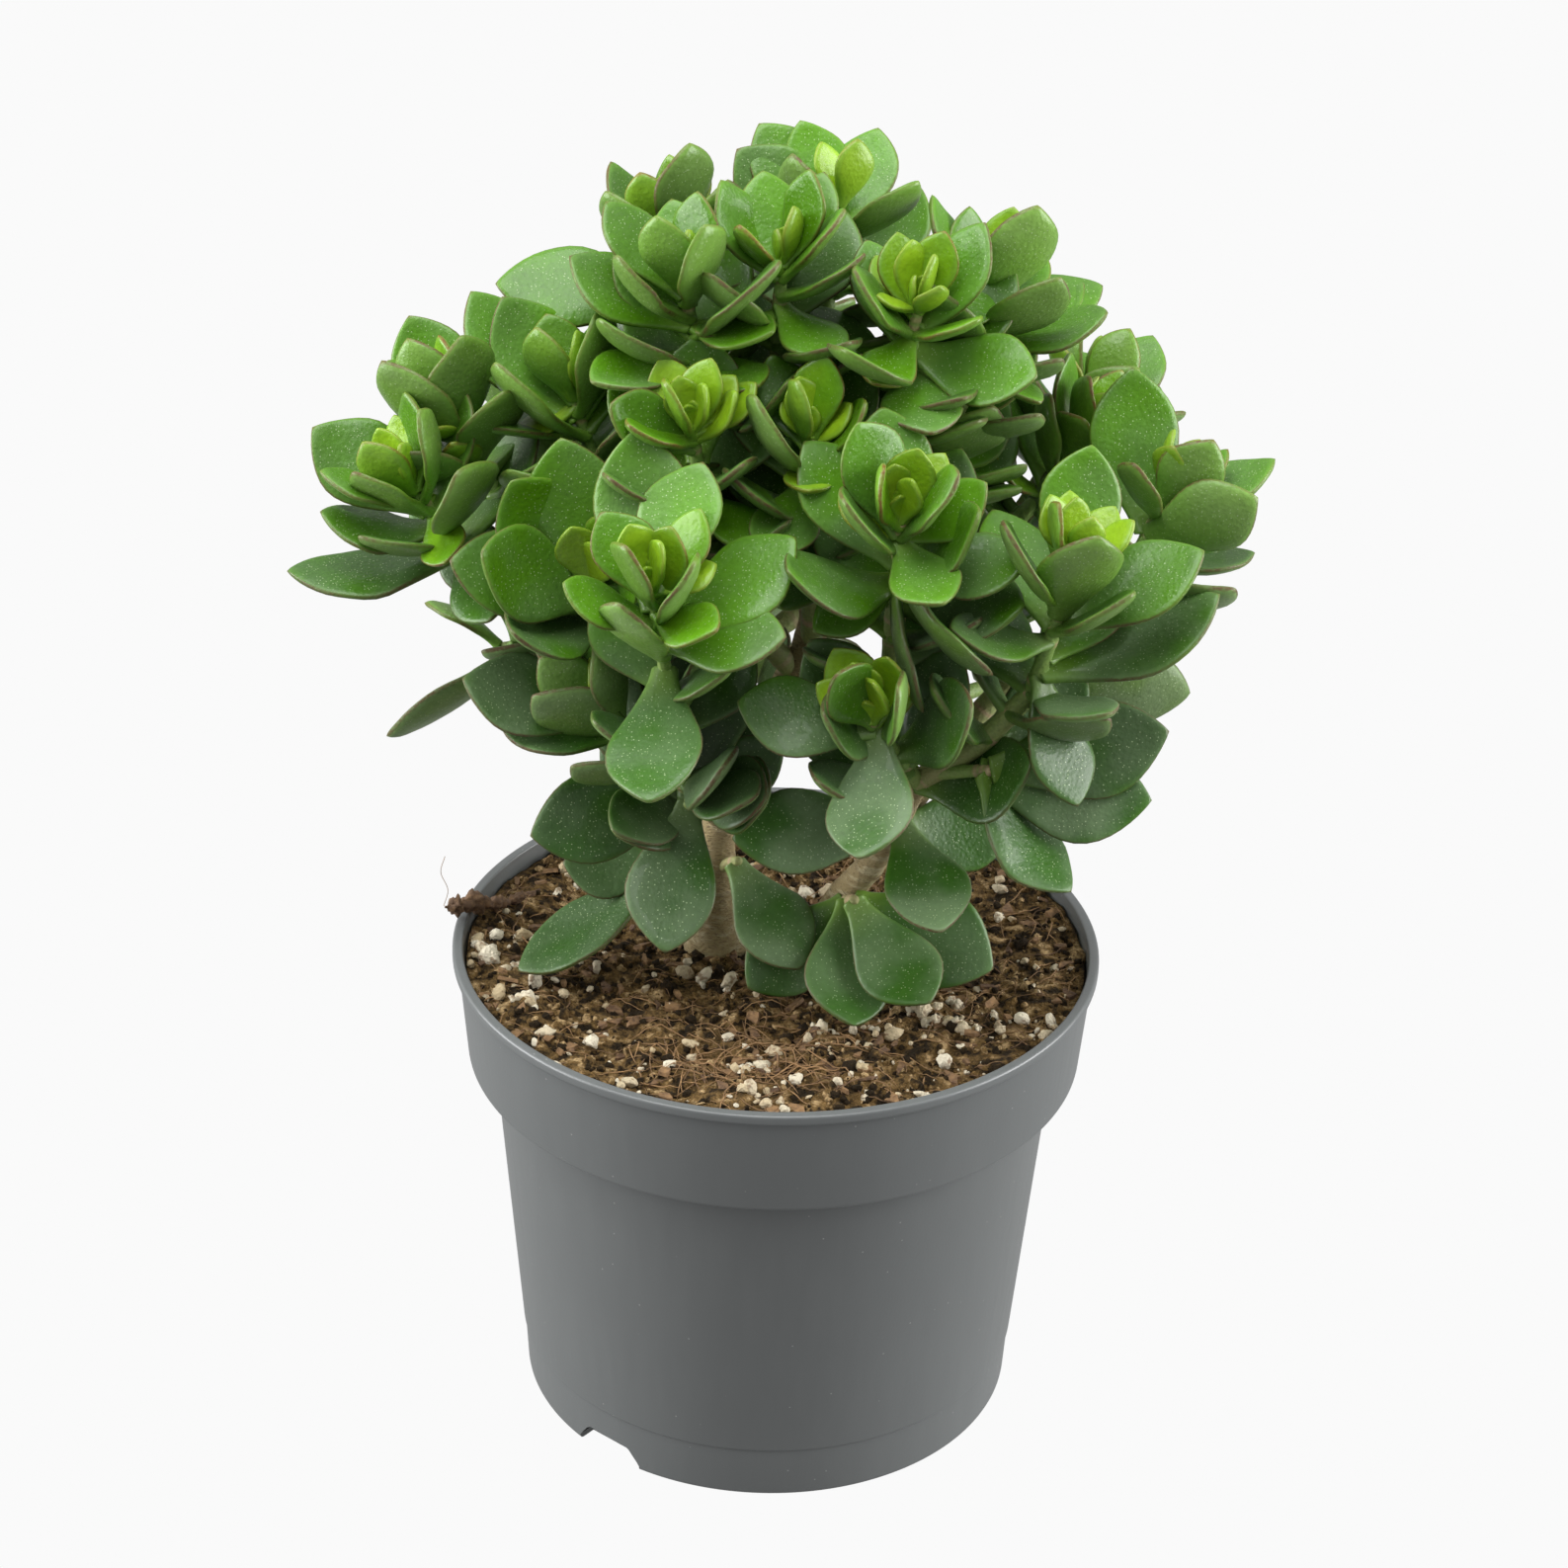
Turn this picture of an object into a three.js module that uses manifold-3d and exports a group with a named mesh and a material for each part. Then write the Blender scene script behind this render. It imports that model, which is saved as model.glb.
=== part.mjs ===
// Potted jade plant: a bushy jade plant (Crassula ovata) in a round plastic nursery pot.
// Millimetres, +Z up. The origin is the middle of the pot's flat underside, -Y is the front.
import * as THREE from "three";
import { mergeVertices } from "three/addons/utils/BufferGeometryUtils.js";
import Module from "manifold-3d";

const wasm = await Module();
wasm.setup();

// ---- Driving dimensions -------------------------------------------------------------------

const GAP = 0.3; // clearance between two pieces that touch

const POT = {
  height: 131.5, // table to the top of the lip
  rimRadius: 85, // outside of the lip
  lipHeight: 3,
  lipOverhang: 1.4, // how far the lip stands out over the band
  lipEdge: 0.45, // how far the lip's edges are broken
  bandHeight: 30.4, // from the shoulder to the rim
  bandTaper: 2.4, // how much smaller the band's radius gets on its way down
  shoulderStep: 6.6, // from the band in to the body
  bodyTaper: 8.6, // how much smaller the body's radius gets on its way down
  footHeight: 15.2, // the shallow line round the foot
  footStep: 0.35,
  wall: 1.3,
  floor: 1.8,
  sides: 36, // flat faces round the pot
};

const FOOT_SLOT = {
  count: 2, // drain slots through the foot, opposite each other
  firstAngle: -129, // degrees from +X, the one that shows at the front left
  height: 6.8,
  bottomWidth: 21,
  topWidth: 12.5,
  straightShare: 0.3, // share of its height over which its sides stand upright
  reach: 6, // how far each slot runs in under the soil
};

const DRAIN_HOLE = { count: 6, radius: 4, ringShare: 0.64, sides: 10 }; // ring against the pot's bottom

const SOIL = {
  belowRim: 6.2, // mean soil level under the rim
  roughness: 0.9, // height of the lumps
  wavesRight: 0.31, // radians of a lump's wave in each millimetre to the right
  wavesBack: 0.27, // the same to the back
  wavesAcross: 0.17, // the same for the broader wave that crosses them
  waveStart: 1.3,
  topShare: 0.985, // share of its radius that the lumpy top covers
  rings: 4,
};

const PLAN_RIM_RADIUS = 85; // rim of the pot that the growth plan is drawn for; the plant grows with it

const LEAF = {
  scale: 1, // every leaf's length against its natural one
  slimness: 0.62, // width of a short leaf against its length
  widest: 23.5,
  thinnest: 1.5, // thickness that a leaf starts from
  fattening: 0.062, // thickness that it gains per millimetre of length
  bow: 0.07, // how far it arches, against its length
  sides: 4, // corners of its cross-section
  outline: [
    [0.12, 0.3, 0.9], // share of the length, of half the width and of half the thickness
    [0.55, 0.99, 1],
    [0.84, 0.68, 0.78],
  ],
};

const FRONT = new THREE.Vector3(0, -0.88, 0.47); // the side and height that the plant is shown from

const STEM = {
  shootRadius: 2.3, // a green shoot at its base
  budRadius: 1.2, // a green shoot at its tip
  sides: 6,
  woodSides: 8,
};

// Pairs of leaves that every high shoot carries, each pair turned a quarter from the one above it. A row
// is the share of the shoot's length at which the pair sits, its leaves' length and how far they lean
// out. A leaf of the growth plan that is near takes the place of a pair's leaf.

const ROSETTE = {
  lowestBud: 87, // a shoot whose bud is lower than this over the soil carries only its planned leaves
  lift: 0.6, // how far a rosette turns from its shoot's axis to straight up
  firstTurn: [0.7, -0.7, 0.1], // the way that every other pair faces
  nearShare: 0.35, // a planned leaf this close along the shoot is near
  nearWay: 0.91, // and so is one whose direction has at least this cosine with the pair's leaf
  pairs: [
    [0.95, 23, 0.45],
    [0.84, 28, 0.62],
    [0.68, 31, 0.9],
  ],
};

// ---- Growth plan ---------------------------------------------------------------------------
// Woody stems and limbs, as the points that each passes through and its radius at each point. Heights
// are above the soil.

const WOOD = {
  trunk: [
    [-16, 7, -25, 5],
    [-16, 7, -1, 8.4],
    [-16, 6, 9, 5.4],
    [-15, 4, 41, 4.5],
    [-4, 4, 69, 4.1],
    [7, 4, 95, 3.8],
    [5, 7, 117, 3.2],
  ],
  second_stem: [
    [8, 5, -25, 4],
    [10, 4, 1, 4.6],
    [16, 0, 18, 4.2],
    [24, -12, 37, 3.6],
    [34, -31, 71, 3],
  ],
  limb_front: [
    [-15, 4, 41, 3.4],
    [-21, -16, 57, 3.1],
    [-24, -30, 70, 2.8],
  ],
  limb_left: [
    [-8, 4, 61, 3.2],
    [-44, 4, 91, 2.9],
    [-77, -5, 116, 2.5],
  ],
  limb_upper_left: [
    [6, 6, 105, 3],
    [-36, 7, 119, 2.8],
    [-73, 5, 130, 2.5],
  ],
  limb_leader: [
    [5, 7, 116, 3],
    [-10, 6, 139, 2.8],
    [-21, 0, 164, 2.5],
  ],
  limb_top: [
    [5, 7, 117, 3],
    [-2, 7, 145, 2.7],
    [-3, 5, 172, 2.4],
  ],
  limb_top_left_back: [
    [5, 8, 113, 3],
    [-14, 19, 139, 2.7],
    [-27, 25, 169, 2.4],
  ],
  limb_top_back: [
    [6, 8, 113, 3],
    [5, 22, 139, 2.7],
    [8, 30, 168, 2.4],
  ],
  limb_top_right: [
    [7, 5, 103, 3.1],
    [20, 4, 131, 2.8],
    [28, 0, 163, 2.4],
  ],
  limb_right_back: [
    [7, 5, 99, 3.1],
    [30, 13, 127, 2.8],
    [45, 15, 160, 2.4],
  ],
  limb_centre_left: [
    [2, 3, 85, 2.9],
    [-15, -8, 111, 2.7],
    [-20, -15, 136, 2.4],
  ],
  limb_centre: [
    [7, 3, 93, 2.9],
    [7, -6, 111, 2.7],
    [5, -10, 129, 2.4],
  ],
  limb_centre_right: [
    [32, -28, 65, 2.9],
    [27, -26, 95, 2.7],
    [27, -30, 120, 2.4],
  ],
  limb_right: [
    [26, -16, 45, 3.1],
    [54, -6, 83, 2.9],
    [83, -5, 112, 2.5],
  ],
  limb_inner_right: [
    [38, -12, 63, 2.9],
    [50, 18, 101, 2.7],
    [67, 45, 123, 2.4],
  ],
  limb_right_front: [
    [34, -31, 71, 2.9],
    [48, -35, 84, 2.8],
    [61, -35, 99, 2.5],
  ],
  limb_back: [
    [-15, 6, 53, 3.2],
    [-12, 34, 83, 2.9],
    [-6, 52, 117, 2.5],
  ],
  limb_back_left: [
    [-13, 22, 71, 2.9],
    [-36, 36, 89, 2.7],
    [-50, 44, 113, 2.4],
  ],
  limb_back_right: [
    [-12, 28, 75, 2.9],
    [14, 44, 91, 2.7],
    [34, 58, 113, 2.4],
  ],
};

// Leafy green shoots. Each grows from a limb, at a share of the limb's length, and rises from there to
// its bud. A leaf is a row: the share of the shoot's length at which it sits, then how far its tip
// reaches to the right, to the back and up. A fifth value twists its upper face to the front, or away
// if negative; without it the upper face looks up the shoot.

const SHOOTS = {
  top_left: {
    limb: "limb_leader",
    share: 1,
    rise: [-5, -5, 26],
    leaves: [
      [0.8, -5, 20, 20],
      [0.6, 20, -15, 5],
      [0.9, -20, 10, 20],
      [0.6, -30, 5, 15],
      [0.4, 10, 15, 20],
      [0.3, -25, -20, 0],
      [0.3, 15, -20, 0],
    ],
  },
  top_left_back: {
    limb: "limb_top_left_back",
    share: 1,
    rise: [-5, 5, 21],
    leaves: [
      [0.8, -15, 10, 20],
      [0.9, -15, 0, 10],
      [0.9, 0, 10, 20],
      [1, 5, 5, 10],
      [1, 10, 10, 15],
      [0.4, -45, 0, 0, 0.6],
      [0.4, 5, 25, 10],
    ],
  },
  top_middle: {
    limb: "limb_top",
    share: 1,
    rise: [0, -2, 22],
    leaves: [
      [0.8, -15, 5, 23],
      [0.9, -5, 15, 20],
      [0.9, 10, 15, 20],
      [0.9, -10, -10, 15],
      [0.8, 15, -5, 20],
      [0.6, 20, -10, 15],
      [0.5, 15, -20, -5],
      [0.4, -20, -15, 0],
    ],
  },
  top_middle_back: {
    limb: "limb_top_back",
    share: 1,
    rise: [3, 8, 28],
    leaves: [
      [0.7, -25, 10, 20, 0.8],
      [0.8, -20, 15, 22, 0.8],
      [0.9, -10, 15, 20, 0.8],
      [1, -5, 5, 15, 0.5],
      [0.8, 10, 20, 20],
      [0.7, 20, -10, 20],
      [0.3, 5, 25, 10],
      [0.3, 25, 0, 5],
    ],
  },
  top_right: {
    limb: "limb_top_right",
    share: 1,
    rise: [2, -5, 23],
    leaves: [
      [0.9, -5, 10, 18],
      [0.9, -10, 15, 10],
      [0.7, -15, -10, 20],
      [1, 5, -10, 10],
      [1, -10, -5, 5],
      [0.7, -10, -20, -5],
      [0.5, -20, 15, -5],
      [0.8, 20, 20, 5],
      [0.7, 15, -15, 10],
      [0.5, 30, -15, 0, 0.5],
      [0.3, 5, -30, -5],
    ],
  },
  top_right_back: {
    limb: "limb_right_back",
    share: 1,
    rise: [4, 5, 23],
    leaves: [
      [0.6, 30, 15, 5, 0.4],
      [0.5, 30, -10, 10, 0.4],
      [1, 7, 14, 11],
      [1, -5, -5, 13],
      [0.9, -15, 10, 22],
      [0.8, -5, 15, 20],
      [0.7, 15, 15, 10],
      [0.3, 0, 25, 0],
      [0.3, 15, -20, -5],
    ],
  },
  upper_left: {
    limb: "limb_upper_left",
    share: 1,
    rise: [-9, 3, 19],
    leaves: [
      [0.8, -15, 15, 25],
      [0.8, -20, 10, 15],
      [1, -10, 5, 10],
      [1, -5, 5, 20],
      [0.9, 0, 10, 20],
      [0.9, -10, -15, 5],
      [0.5, -5, -15, 10],
    ],
  },
  far_left: {
    limb: "limb_left",
    share: 1,
    rise: [-15, -5, 22],
    leaves: [
      [0.7, -30, 10, 17],
      [0.8, -25, -5, 10],
      [0.8, 5, 15, 5],
      [1, -5, 10, 15],
      [0.5, -30, -5, 5],
      [0.2, -43, -8, -4],
      [0.7, 5, -20, -5],
      [0.3, 10, -25, -10],
    ],
  },
  left: {
    limb: "limb_upper_left",
    share: 0.6,
    rise: [-10, -2, 37],
    leaves: [
      [0.9, -8, 10, 20],
      [0.8, -15, 15, 10],
      [0.9, -15, -5, -5],
      [1, 0, 10, 12],
      [0.7, -30, -5, 5],
      [0.8, -28, 15, 27],
      [0.8, -20, 12, 27],
      [0.8, 5, 10, 23],
      [0.9, 10, 5, 15],
      [0.7, 10, 15, 27],
      [0.5, 10, -25, 0],
      [0.4, -20, -20, -5],
    ],
  },
  centre_left: {
    limb: "limb_centre_left",
    share: 1,
    rise: [-3, -10, 25],
    leaves: [
      [0.8, -20, -10, 15, 0.7],
      [1, -8, 8, 16, 0.5],
      [1, 10, 5, 13],
      [1, 15, 3, 12],
      [0.9, 10, -5, 15],
      [0.6, 0, 15, 28],
      [0.9, -15, -15, 10],
      [0.3, 10, -20, 15],
      [0.3, -25, -10, 5],
      [0.2, 15, -18, -5],
    ],
  },
  centre: {
    limb: "limb_centre",
    share: 1,
    rise: [0, -10, 29],
    leaves: [
      [0.9, -10, 15, 18],
      [0.9, 0, 20, 15],
      [1, -7, 3, 9],
      [1, 3, 9, 7],
      [0.8, 0, -20, 0],
      [0.9, 10, 0, 12],
      [0.8, 13, -7, 18],
      [0.6, 10, 18, 27],
      [0.6, -10, -25, -10],
      [0.3, 20, -20, -10],
      [0.2, -5, -30, -12],
    ],
  },
  centre_right: {
    limb: "limb_centre_right",
    share: 1,
    rise: [0, -15, 28],
    leaves: [
      [0.9, -5, 18, 24],
      [0.9, 0, 10, 17],
      [1, 10, 7, 15],
      [0.8, 20, 0, 15],
      [0.8, -15, 0, 10],
      [0.8, 10, -25, -5],
      [0.6, 23, -17, -23, -0.5],
      [0.3, 7, -18, -27, -0.5],
      [0.5, 30, -10, 5],
      [0.3, -20, -10, -10],
    ],
  },
  centre_back: {
    limb: "limb_right_back",
    share: 0.5,
    rise: [9, 2, 26],
    leaves: [
      [0.8, -15, 5, 10],
      [0.8, -13, 13, 17],
      [0.5, 15, 0, 20, 0.8],
      [0.4, 25, -17, 8],
      [0.7, 25, 12, 20],
      [0.3, 5, 25, 8],
    ],
  },
  right_upper: {
    limb: "limb_right",
    share: 1,
    rise: [11, 5, 25],
    leaves: [
      [0.6, -5, 18, 37, 0.9],
      [1, 0, -7, 16],
      [1, 6, 10, 6],
      [0.8, 17, 7, 15],
      [0.7, 30, 8, 15],
      [0.6, 25, -12, 16, -0.7],
      [0.4, 30, 7, -2],
      [0.8, -8, -15, 20],
      [0.3, -10, -25, 0],
    ],
  },
  right_inner: {
    limb: "limb_inner_right",
    share: 0.75,
    rise: [17, -3, 26],
    leaves: [
      [0.9, 0, 16, 9],
      [0.9, 10, 12, 9],
      [0.8, 2, -15, 17],
      [0.6, -3, -9, 26],
      [0.4, -13, -8, 14],
      [0.6, 25, -15, 5],
    ],
  },
  right_back: {
    limb: "limb_inner_right",
    share: 1,
    rise: [12, 15, 14],
    leaves: [
      [0.8, 5, 27, 5],
      [0.8, 20, 23, 0],
      [0.6, 30, 12, 0],
      [0.6, -10, 25, 5],
      [0.4, 20, -7, 2],
      [0.3, -13, 18, -6],
      [0.9, 10, 5, 20],
      [0.9, -10, 0, 18],
    ],
  },
  right_front: {
    limb: "limb_right_front",
    share: 1,
    rise: [8, -10, 40],
    leaves: [
      [0.8, 5, 17, 30],
      [1, -7, 5, 15],
      [1, -2, 10, 14],
      [1, 9, 8, 11],
      [1, 13, 0, 11],
      [0.6, 7, -15, 28],
      [0.5, 35, 3, 20],
      [0.15, 43, 5, 20],
      [0.15, 10, -18, -27],
      [0.5, -15, 24, 20],
      [0.4, -25, -15, 10],
    ],
  },
  front_left: {
    limb: "limb_front",
    share: 1,
    rise: [-7, -30, 65],
    leaves: [
      [1, 11, 20, 25],
      [1, 11, 9, 18],
      [1, 15, 4, 6],
      [0.9, 15, -17, 4],
      [0.8, 32, 12, 20],
      [0.75, 30, -12, 8],
      [0.9, -6, 23, 37],
      [0.95, -13, 9, 19],
      [0.85, -22, -5, 12],
      [0.6, -2, -43, -13],
    ],
  },
  left_front: {
    limb: "limb_left",
    share: 0.45,
    rise: [-6, -36, 35],
    leaves: [
      [0.8, -21, -5, 33],
      [0.9, -9, 8, 37],
      [1, -5, -6, 18],
      [0.8, -27, -20, 21],
      [0.7, -36, -15, 18],
      [0.6, -21, -29, 8],
      [0.5, -27, -12, 10],
      [0.8, 20, -10, 25],
    ],
  },
  left_low: {
    limb: "limb_front",
    share: 0.95,
    rise: [-20, 1, 19],
    leaves: [
      [0.9, -37, -2, 10, 0.5],
      [0.7, -31, -3, 0, 0.3],
      [1, -10, 10, 22],
    ],
  },
  front_pair: {
    limb: "limb_front",
    share: 0.6,
    rise: [-1, -15, 5],
    leaves: [
      [0.6, 5, 14, 40],
      [0.6, -5, -28, -28],
      [0.5, 23, 10, 11],
      [0.2, -40, -14, -5, 0.8],
    ],
  },
  lower_left: {
    limb: "trunk",
    share: 0.4,
    rise: [-16, -10, 11],
    leaves: [
      [0.8, -27, 0, 0],
      [0.7, -26, 14, -5],
      [0.9, -36, -16, -24],
    ],
  },
  lower_centre: {
    limb: "trunk",
    share: 0.42,
    rise: [6, -10, 8],
    leaves: [[0.8, 18, -20, -20]],
  },
  second_low: {
    limb: "second_stem",
    share: 0.5,
    rise: [4, -14, 9],
    leaves: [
      [0.5, -25, -17, -17],
      [0.6, 2, -34, -17],
      [0.9, 20, -27, -14],
      [0.8, 37, -11, -13],
    ],
  },
  second_mid: {
    limb: "second_stem",
    share: 0.84,
    rise: [3, -13, 12],
    leaves: [
      [0.6, -41, -12, 2],
      [0.9, 10, -32, -13],
      [0.6, 31, 12, -5],
    ],
  },
  second_shoot: {
    limb: "second_stem",
    share: 1,
    rise: [-12, -24, 29],
    leaves: [
      [0.9, -34, 0, 6],
      [0.9, -4, -29, -20],
      [1, -10, 7, 16],
      [1, -14, 2, 9],
      [0.8, 4, 6, 17],
      [0.3, 12, 10, 27],
    ],
  },
  right_low: {
    limb: "limb_right_front",
    share: 0.15,
    rise: [13, -10, 6],
    leaves: [
      [0.9, 22, -15, -25],
      [0.8, 43, 0, -7],
      [1, 44, 8, 8],
    ],
  },
  back_left: {
    limb: "limb_back_left",
    share: 1,
    rise: [-8, 12, 20],
    leaves: [
      [0.8, -25, -5, 20],
      [0.8, 18, 8, 22],
      [1, -6, 16, 18],
      [0.9, -13, 28, 2],
      [0.6, -30, 15, -2],
      [0.5, 2, 35, -2],
      [0.3, -25, -8, -4],
      [1, -10, -5, 18],
      [1, 10, 0, 18],
    ],
  },
  back: {
    limb: "limb_back",
    share: 1,
    rise: [0, 14, 24],
    leaves: [
      [0.8, -20, 0, 27],
      [0.8, 22, 3, 25],
      [1, 0, 16, 24],
      [0.8, 2, 36, 5],
      [0.6, -28, 18, 0],
      [0.5, 30, 25, 4],
      [0.3, 2, 36, -9],
      [1, 8, 0, 18],
      [1, -10, 6, 14],
    ],
  },
  back_right: {
    limb: "limb_back_right",
    share: 1,
    rise: [6, 12, 18],
    leaves: [
      [0.8, -10, 22, 25],
      [0.9, 13, 24, 10],
      [0.7, 28, 20, -9],
      [0.5, -7, 35, -3],
      [0.4, 12, -3, 25],
      [1, 10, 4, 18],
      [1, -12, 2, 14],
    ],
  },
  back_low_left: {
    limb: "limb_back_left",
    share: 0.35,
    rise: [-45, 2, -10],
    leaves: [
      [0.9, -34, -8, -24],
      [0.8, 0, 35, -3],
      [0.5, 10, 33, -20],
      [0.9, -10, 15, 20],
      [1, -20, 5, 10],
    ],
  },
  back_low: {
    limb: "limb_back",
    share: 0.25,
    rise: [3, 36, 7],
    leaves: [
      [0.8, -18, 38, 0],
      [0.9, 15, 40, 0],
      [0.6, 0, 38, -25],
      [0.4, 35, 25, -15],
    ],
  },
  back_low_right: {
    limb: "limb_inner_right",
    share: 0.2,
    rise: [25, 30, -6],
    leaves: [
      [0.9, 43, 10, -10],
      [0.8, 10, 40, -20],
      [0.7, 30, -5, -24],
      [0.7, -8, 42, 0],
      [1, 15, 15, 15],
    ],
  },
};

// A stick of bark and the bigger grains of perlite that lie on the soil.

const BARK_TWIG = {
  from: [-0.71, 0.4], // to the right and to the back, as shares of the rim's radius
  to: [-1.035, 0.024],
  radius: 2.2,
  taper: [0.8, 1, 0.6], // its radius at its start, middle and end
  lift: 1.8, // how much higher than the rim its far end leans
};

const PERLITE = [
  { at: [-0.541, -0.529], radius: 3 }, // its place as shares of the rim's radius
  { at: [-0.306, -0.659], radius: 2.5 },
  { at: [0.506, -0.588], radius: 2.6 },
];
const PERLITE_SHAPE = [1, 0.8, 0.7]; // how wide, deep and high a grain is

// ---- Solids --------------------------------------------------------------------------------

const vec = (point) => new THREE.Vector3(point[0], point[1], point[2]);

/** A closed three.js geometry as a manifold solid. */
function solid(geometry) {
  geometry.deleteAttribute("normal");
  geometry.deleteAttribute("uv");
  const merged = mergeVertices(geometry, 1e-4);
  return new wasm.Manifold(
    new wasm.Mesh({
      numProp: 3,
      vertProperties: merged.attributes.position.array,
      triVerts: new Uint32Array(merged.index.array),
    }),
  );
}

/** The geometry of a manifold solid. */
function geometryOf(manifold) {
  const mesh = manifold.getMesh();
  const geometry = new THREE.BufferGeometry();
  geometry.setAttribute("position", new THREE.BufferAttribute(mesh.vertProperties, 3));
  geometry.setIndex(new THREE.BufferAttribute(mesh.triVerts, 1));
  geometry.computeVertexNormals();
  return geometry;
}

/** The curve that a stem follows through its rows [x, y, z, radius]. */
const curveOf = (rows) => new THREE.CatmullRomCurve3(rows.map(vec));

/** A round stem through the rows [x, y, z, radius], fatter by grow all round. */
function stem(rows, sides, grow = 0) {
  const curve = curveOf(rows);
  const steps = (rows.length - 1) * 2;
  const frames = curve.computeFrenetFrames(steps, false);
  const points = curve.getPoints(steps);
  const radii = new THREE.SplineCurve(rows.map((row, i) => new THREE.Vector2(i, row[3])));
  const rings = points.map((point, step) => {
    const radius = radii.getPoint(step / steps).y + grow;
    return Array.from({ length: sides }, (_, side) => {
      const turn = (side / sides) * 2 * Math.PI;
      return point
        .clone()
        .addScaledVector(frames.normals[step], radius * Math.cos(turn))
        .addScaledVector(frames.binormals[step], radius * Math.sin(turn));
    });
  });
  const start = points[0].clone().addScaledVector(frames.tangents[0], -grow);
  const end = points[steps].clone().addScaledVector(frames.tangents[steps], grow);
  return loft(rings, start, end);
}

/** A closed skin over rings of points, closed by a point at each end. */
function loft(rings, start, end) {
  const sides = rings[0].length;
  const position = [start, ...rings.flat(), end].flatMap((point) => point.toArray());
  const last = rings.length * sides + 1;
  const index = [];
  const at = (ring, side) => 1 + ring * sides + (side % sides);
  for (let side = 0; side < sides; side++) {
    index.push(0, at(0, side + 1), at(0, side));
    index.push(last, at(rings.length - 1, side), at(rings.length - 1, side + 1));
    for (let ring = 0; ring + 1 < rings.length; ring++) {
      index.push(at(ring, side), at(ring, side + 1), at(ring + 1, side));
      index.push(at(ring, side + 1), at(ring + 1, side + 1), at(ring + 1, side));
    }
  }
  const geometry = new THREE.BufferGeometry();
  geometry.setAttribute("position", new THREE.BufferAttribute(new Float32Array(position), 3));
  geometry.setIndex(index);
  return solid(geometry);
}

/** One fleshy leaf that reaches from its node, its upper face turned to the shoot's axis. */
function leaf(node, reach, axis, show = 0, grow = 0) {
  const length = reach.length() * LEAF.scale + grow;
  const along = reach.clone().normalize();
  const upward = axis.clone().projectOnPlane(along).normalize();
  const forward = FRONT.clone().projectOnPlane(along).normalize();
  const face = upward.multiplyScalar(1 - Math.abs(show)).addScaledVector(forward, show).normalize();
  const across = face.clone().cross(along);
  const width = Math.min(LEAF.slimness * length, LEAF.widest) / 2 + grow;
  const thickness = (LEAF.thinnest + LEAF.fattening * length) / 2 + grow;
  const bowed = (share) => LEAF.bow * length * 4 * share * (1 - share);
  const middle = (share) =>
    node
      .clone()
      .addScaledVector(along, share * length)
      .addScaledVector(face, -bowed(share));
  const rings = LEAF.outline.map(([share, wide, thick]) =>
    Array.from({ length: LEAF.sides }, (_, side) => {
      const turn = (side / LEAF.sides) * 2 * Math.PI;
      return middle(share)
        .addScaledVector(across, width * wide * Math.cos(turn))
        .addScaledVector(face, thickness * thick * Math.sin(turn));
    }),
  );
  return loft(rings, middle(0), middle(1));
}

/** The rosette leaves of a shoot as rows like those of the growth plan, but for the ones planned. */
function rosetteRows(plan, axis, bud) {
  if (bud.z < ROSETTE.lowestBud) {
    return [];
  }
  const heading = axis.clone().add(new THREE.Vector3(0, 0, ROSETTE.lift)).normalize();
  const first = vec(ROSETTE.firstTurn).projectOnPlane(heading).normalize();
  const second = heading.clone().cross(first);
  return ROSETTE.pairs
    .flatMap(([share, length, lean], pair) =>
      [-lean, lean].map((side) => {
        const way = heading
          .clone()
          .addScaledVector(pair % 2 ? first : second, side)
          .normalize();
        return { share, length, way };
      }),
    )
    .filter(({ share, way }) =>
      plan.leaves.every(
        ([other, ...reach]) =>
          Math.abs(other - share) >= ROSETTE.nearShare || way.dot(vec(reach).normalize()) <= ROSETTE.nearWay,
      ),
    )
    .map(({ share, length, way }) => [share, ...way.multiplyScalar(length).toArray()]);
}

/** A leafy shoot as one solid: its green stem with every leaf grown onto it. */
function shoot(plan, grow = 0) {
  const base = curveOf(WOOD[plan.limb]).getPoint(plan.share);
  const rise = vec(plan.rise);
  const axis = rise.clone().normalize();
  const bud = base.clone().add(rise);
  const rows = [0, 0.5, 1].map((share) => {
    const point = base.clone().lerp(bud, share);
    const radius = THREE.MathUtils.lerp(STEM.shootRadius, STEM.budRadius, share);
    return [...point.toArray(), radius];
  });
  let whole = stem(rows, STEM.sides, grow);
  for (const [share, right, back, up, show] of [...plan.leaves, ...rosetteRows(plan, axis, bud)]) {
    const node = base.clone().addScaledVector(rise, share);
    whole = whole.add(leaf(node, vec([right, back, up]), axis, show, grow));
  }
  return whole;
}

/** The largest body of a solid, which is the piece itself once its neighbours have trimmed it. */
function largestBody(manifold) {
  return manifold.decompose().reduce((a, b) => (a.volume() > b.volume() ? a : b));
}

// Radii of the pot's outside, each a step in from the one above it.
const bandTopRadius = POT.rimRadius - POT.lipOverhang;
const bandBottomRadius = bandTopRadius - POT.bandTaper;
const bodyTopRadius = bandBottomRadius - POT.shoulderStep;
const bodyBottomRadius = bodyTopRadius - POT.bodyTaper;

/** The lathe profile of the pot's outside, from the floor up to under the lip, set in by inset. */
function potWall(inset) {
  const underShoulder = POT.height - POT.bandHeight;
  const shoulder = underShoulder + (inset > 0 ? POT.wall : 0);
  const footRadius = bodyBottomRadius + (POT.bodyTaper * POT.footHeight) / underShoulder;
  return [
    [bodyBottomRadius - inset, 0],
    [footRadius - inset, POT.footHeight],
    [bodyTopRadius - inset, shoulder],
    [bandBottomRadius - inset, shoulder],
    [bandTopRadius - inset, POT.height - POT.lipHeight],
  ];
}

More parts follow.
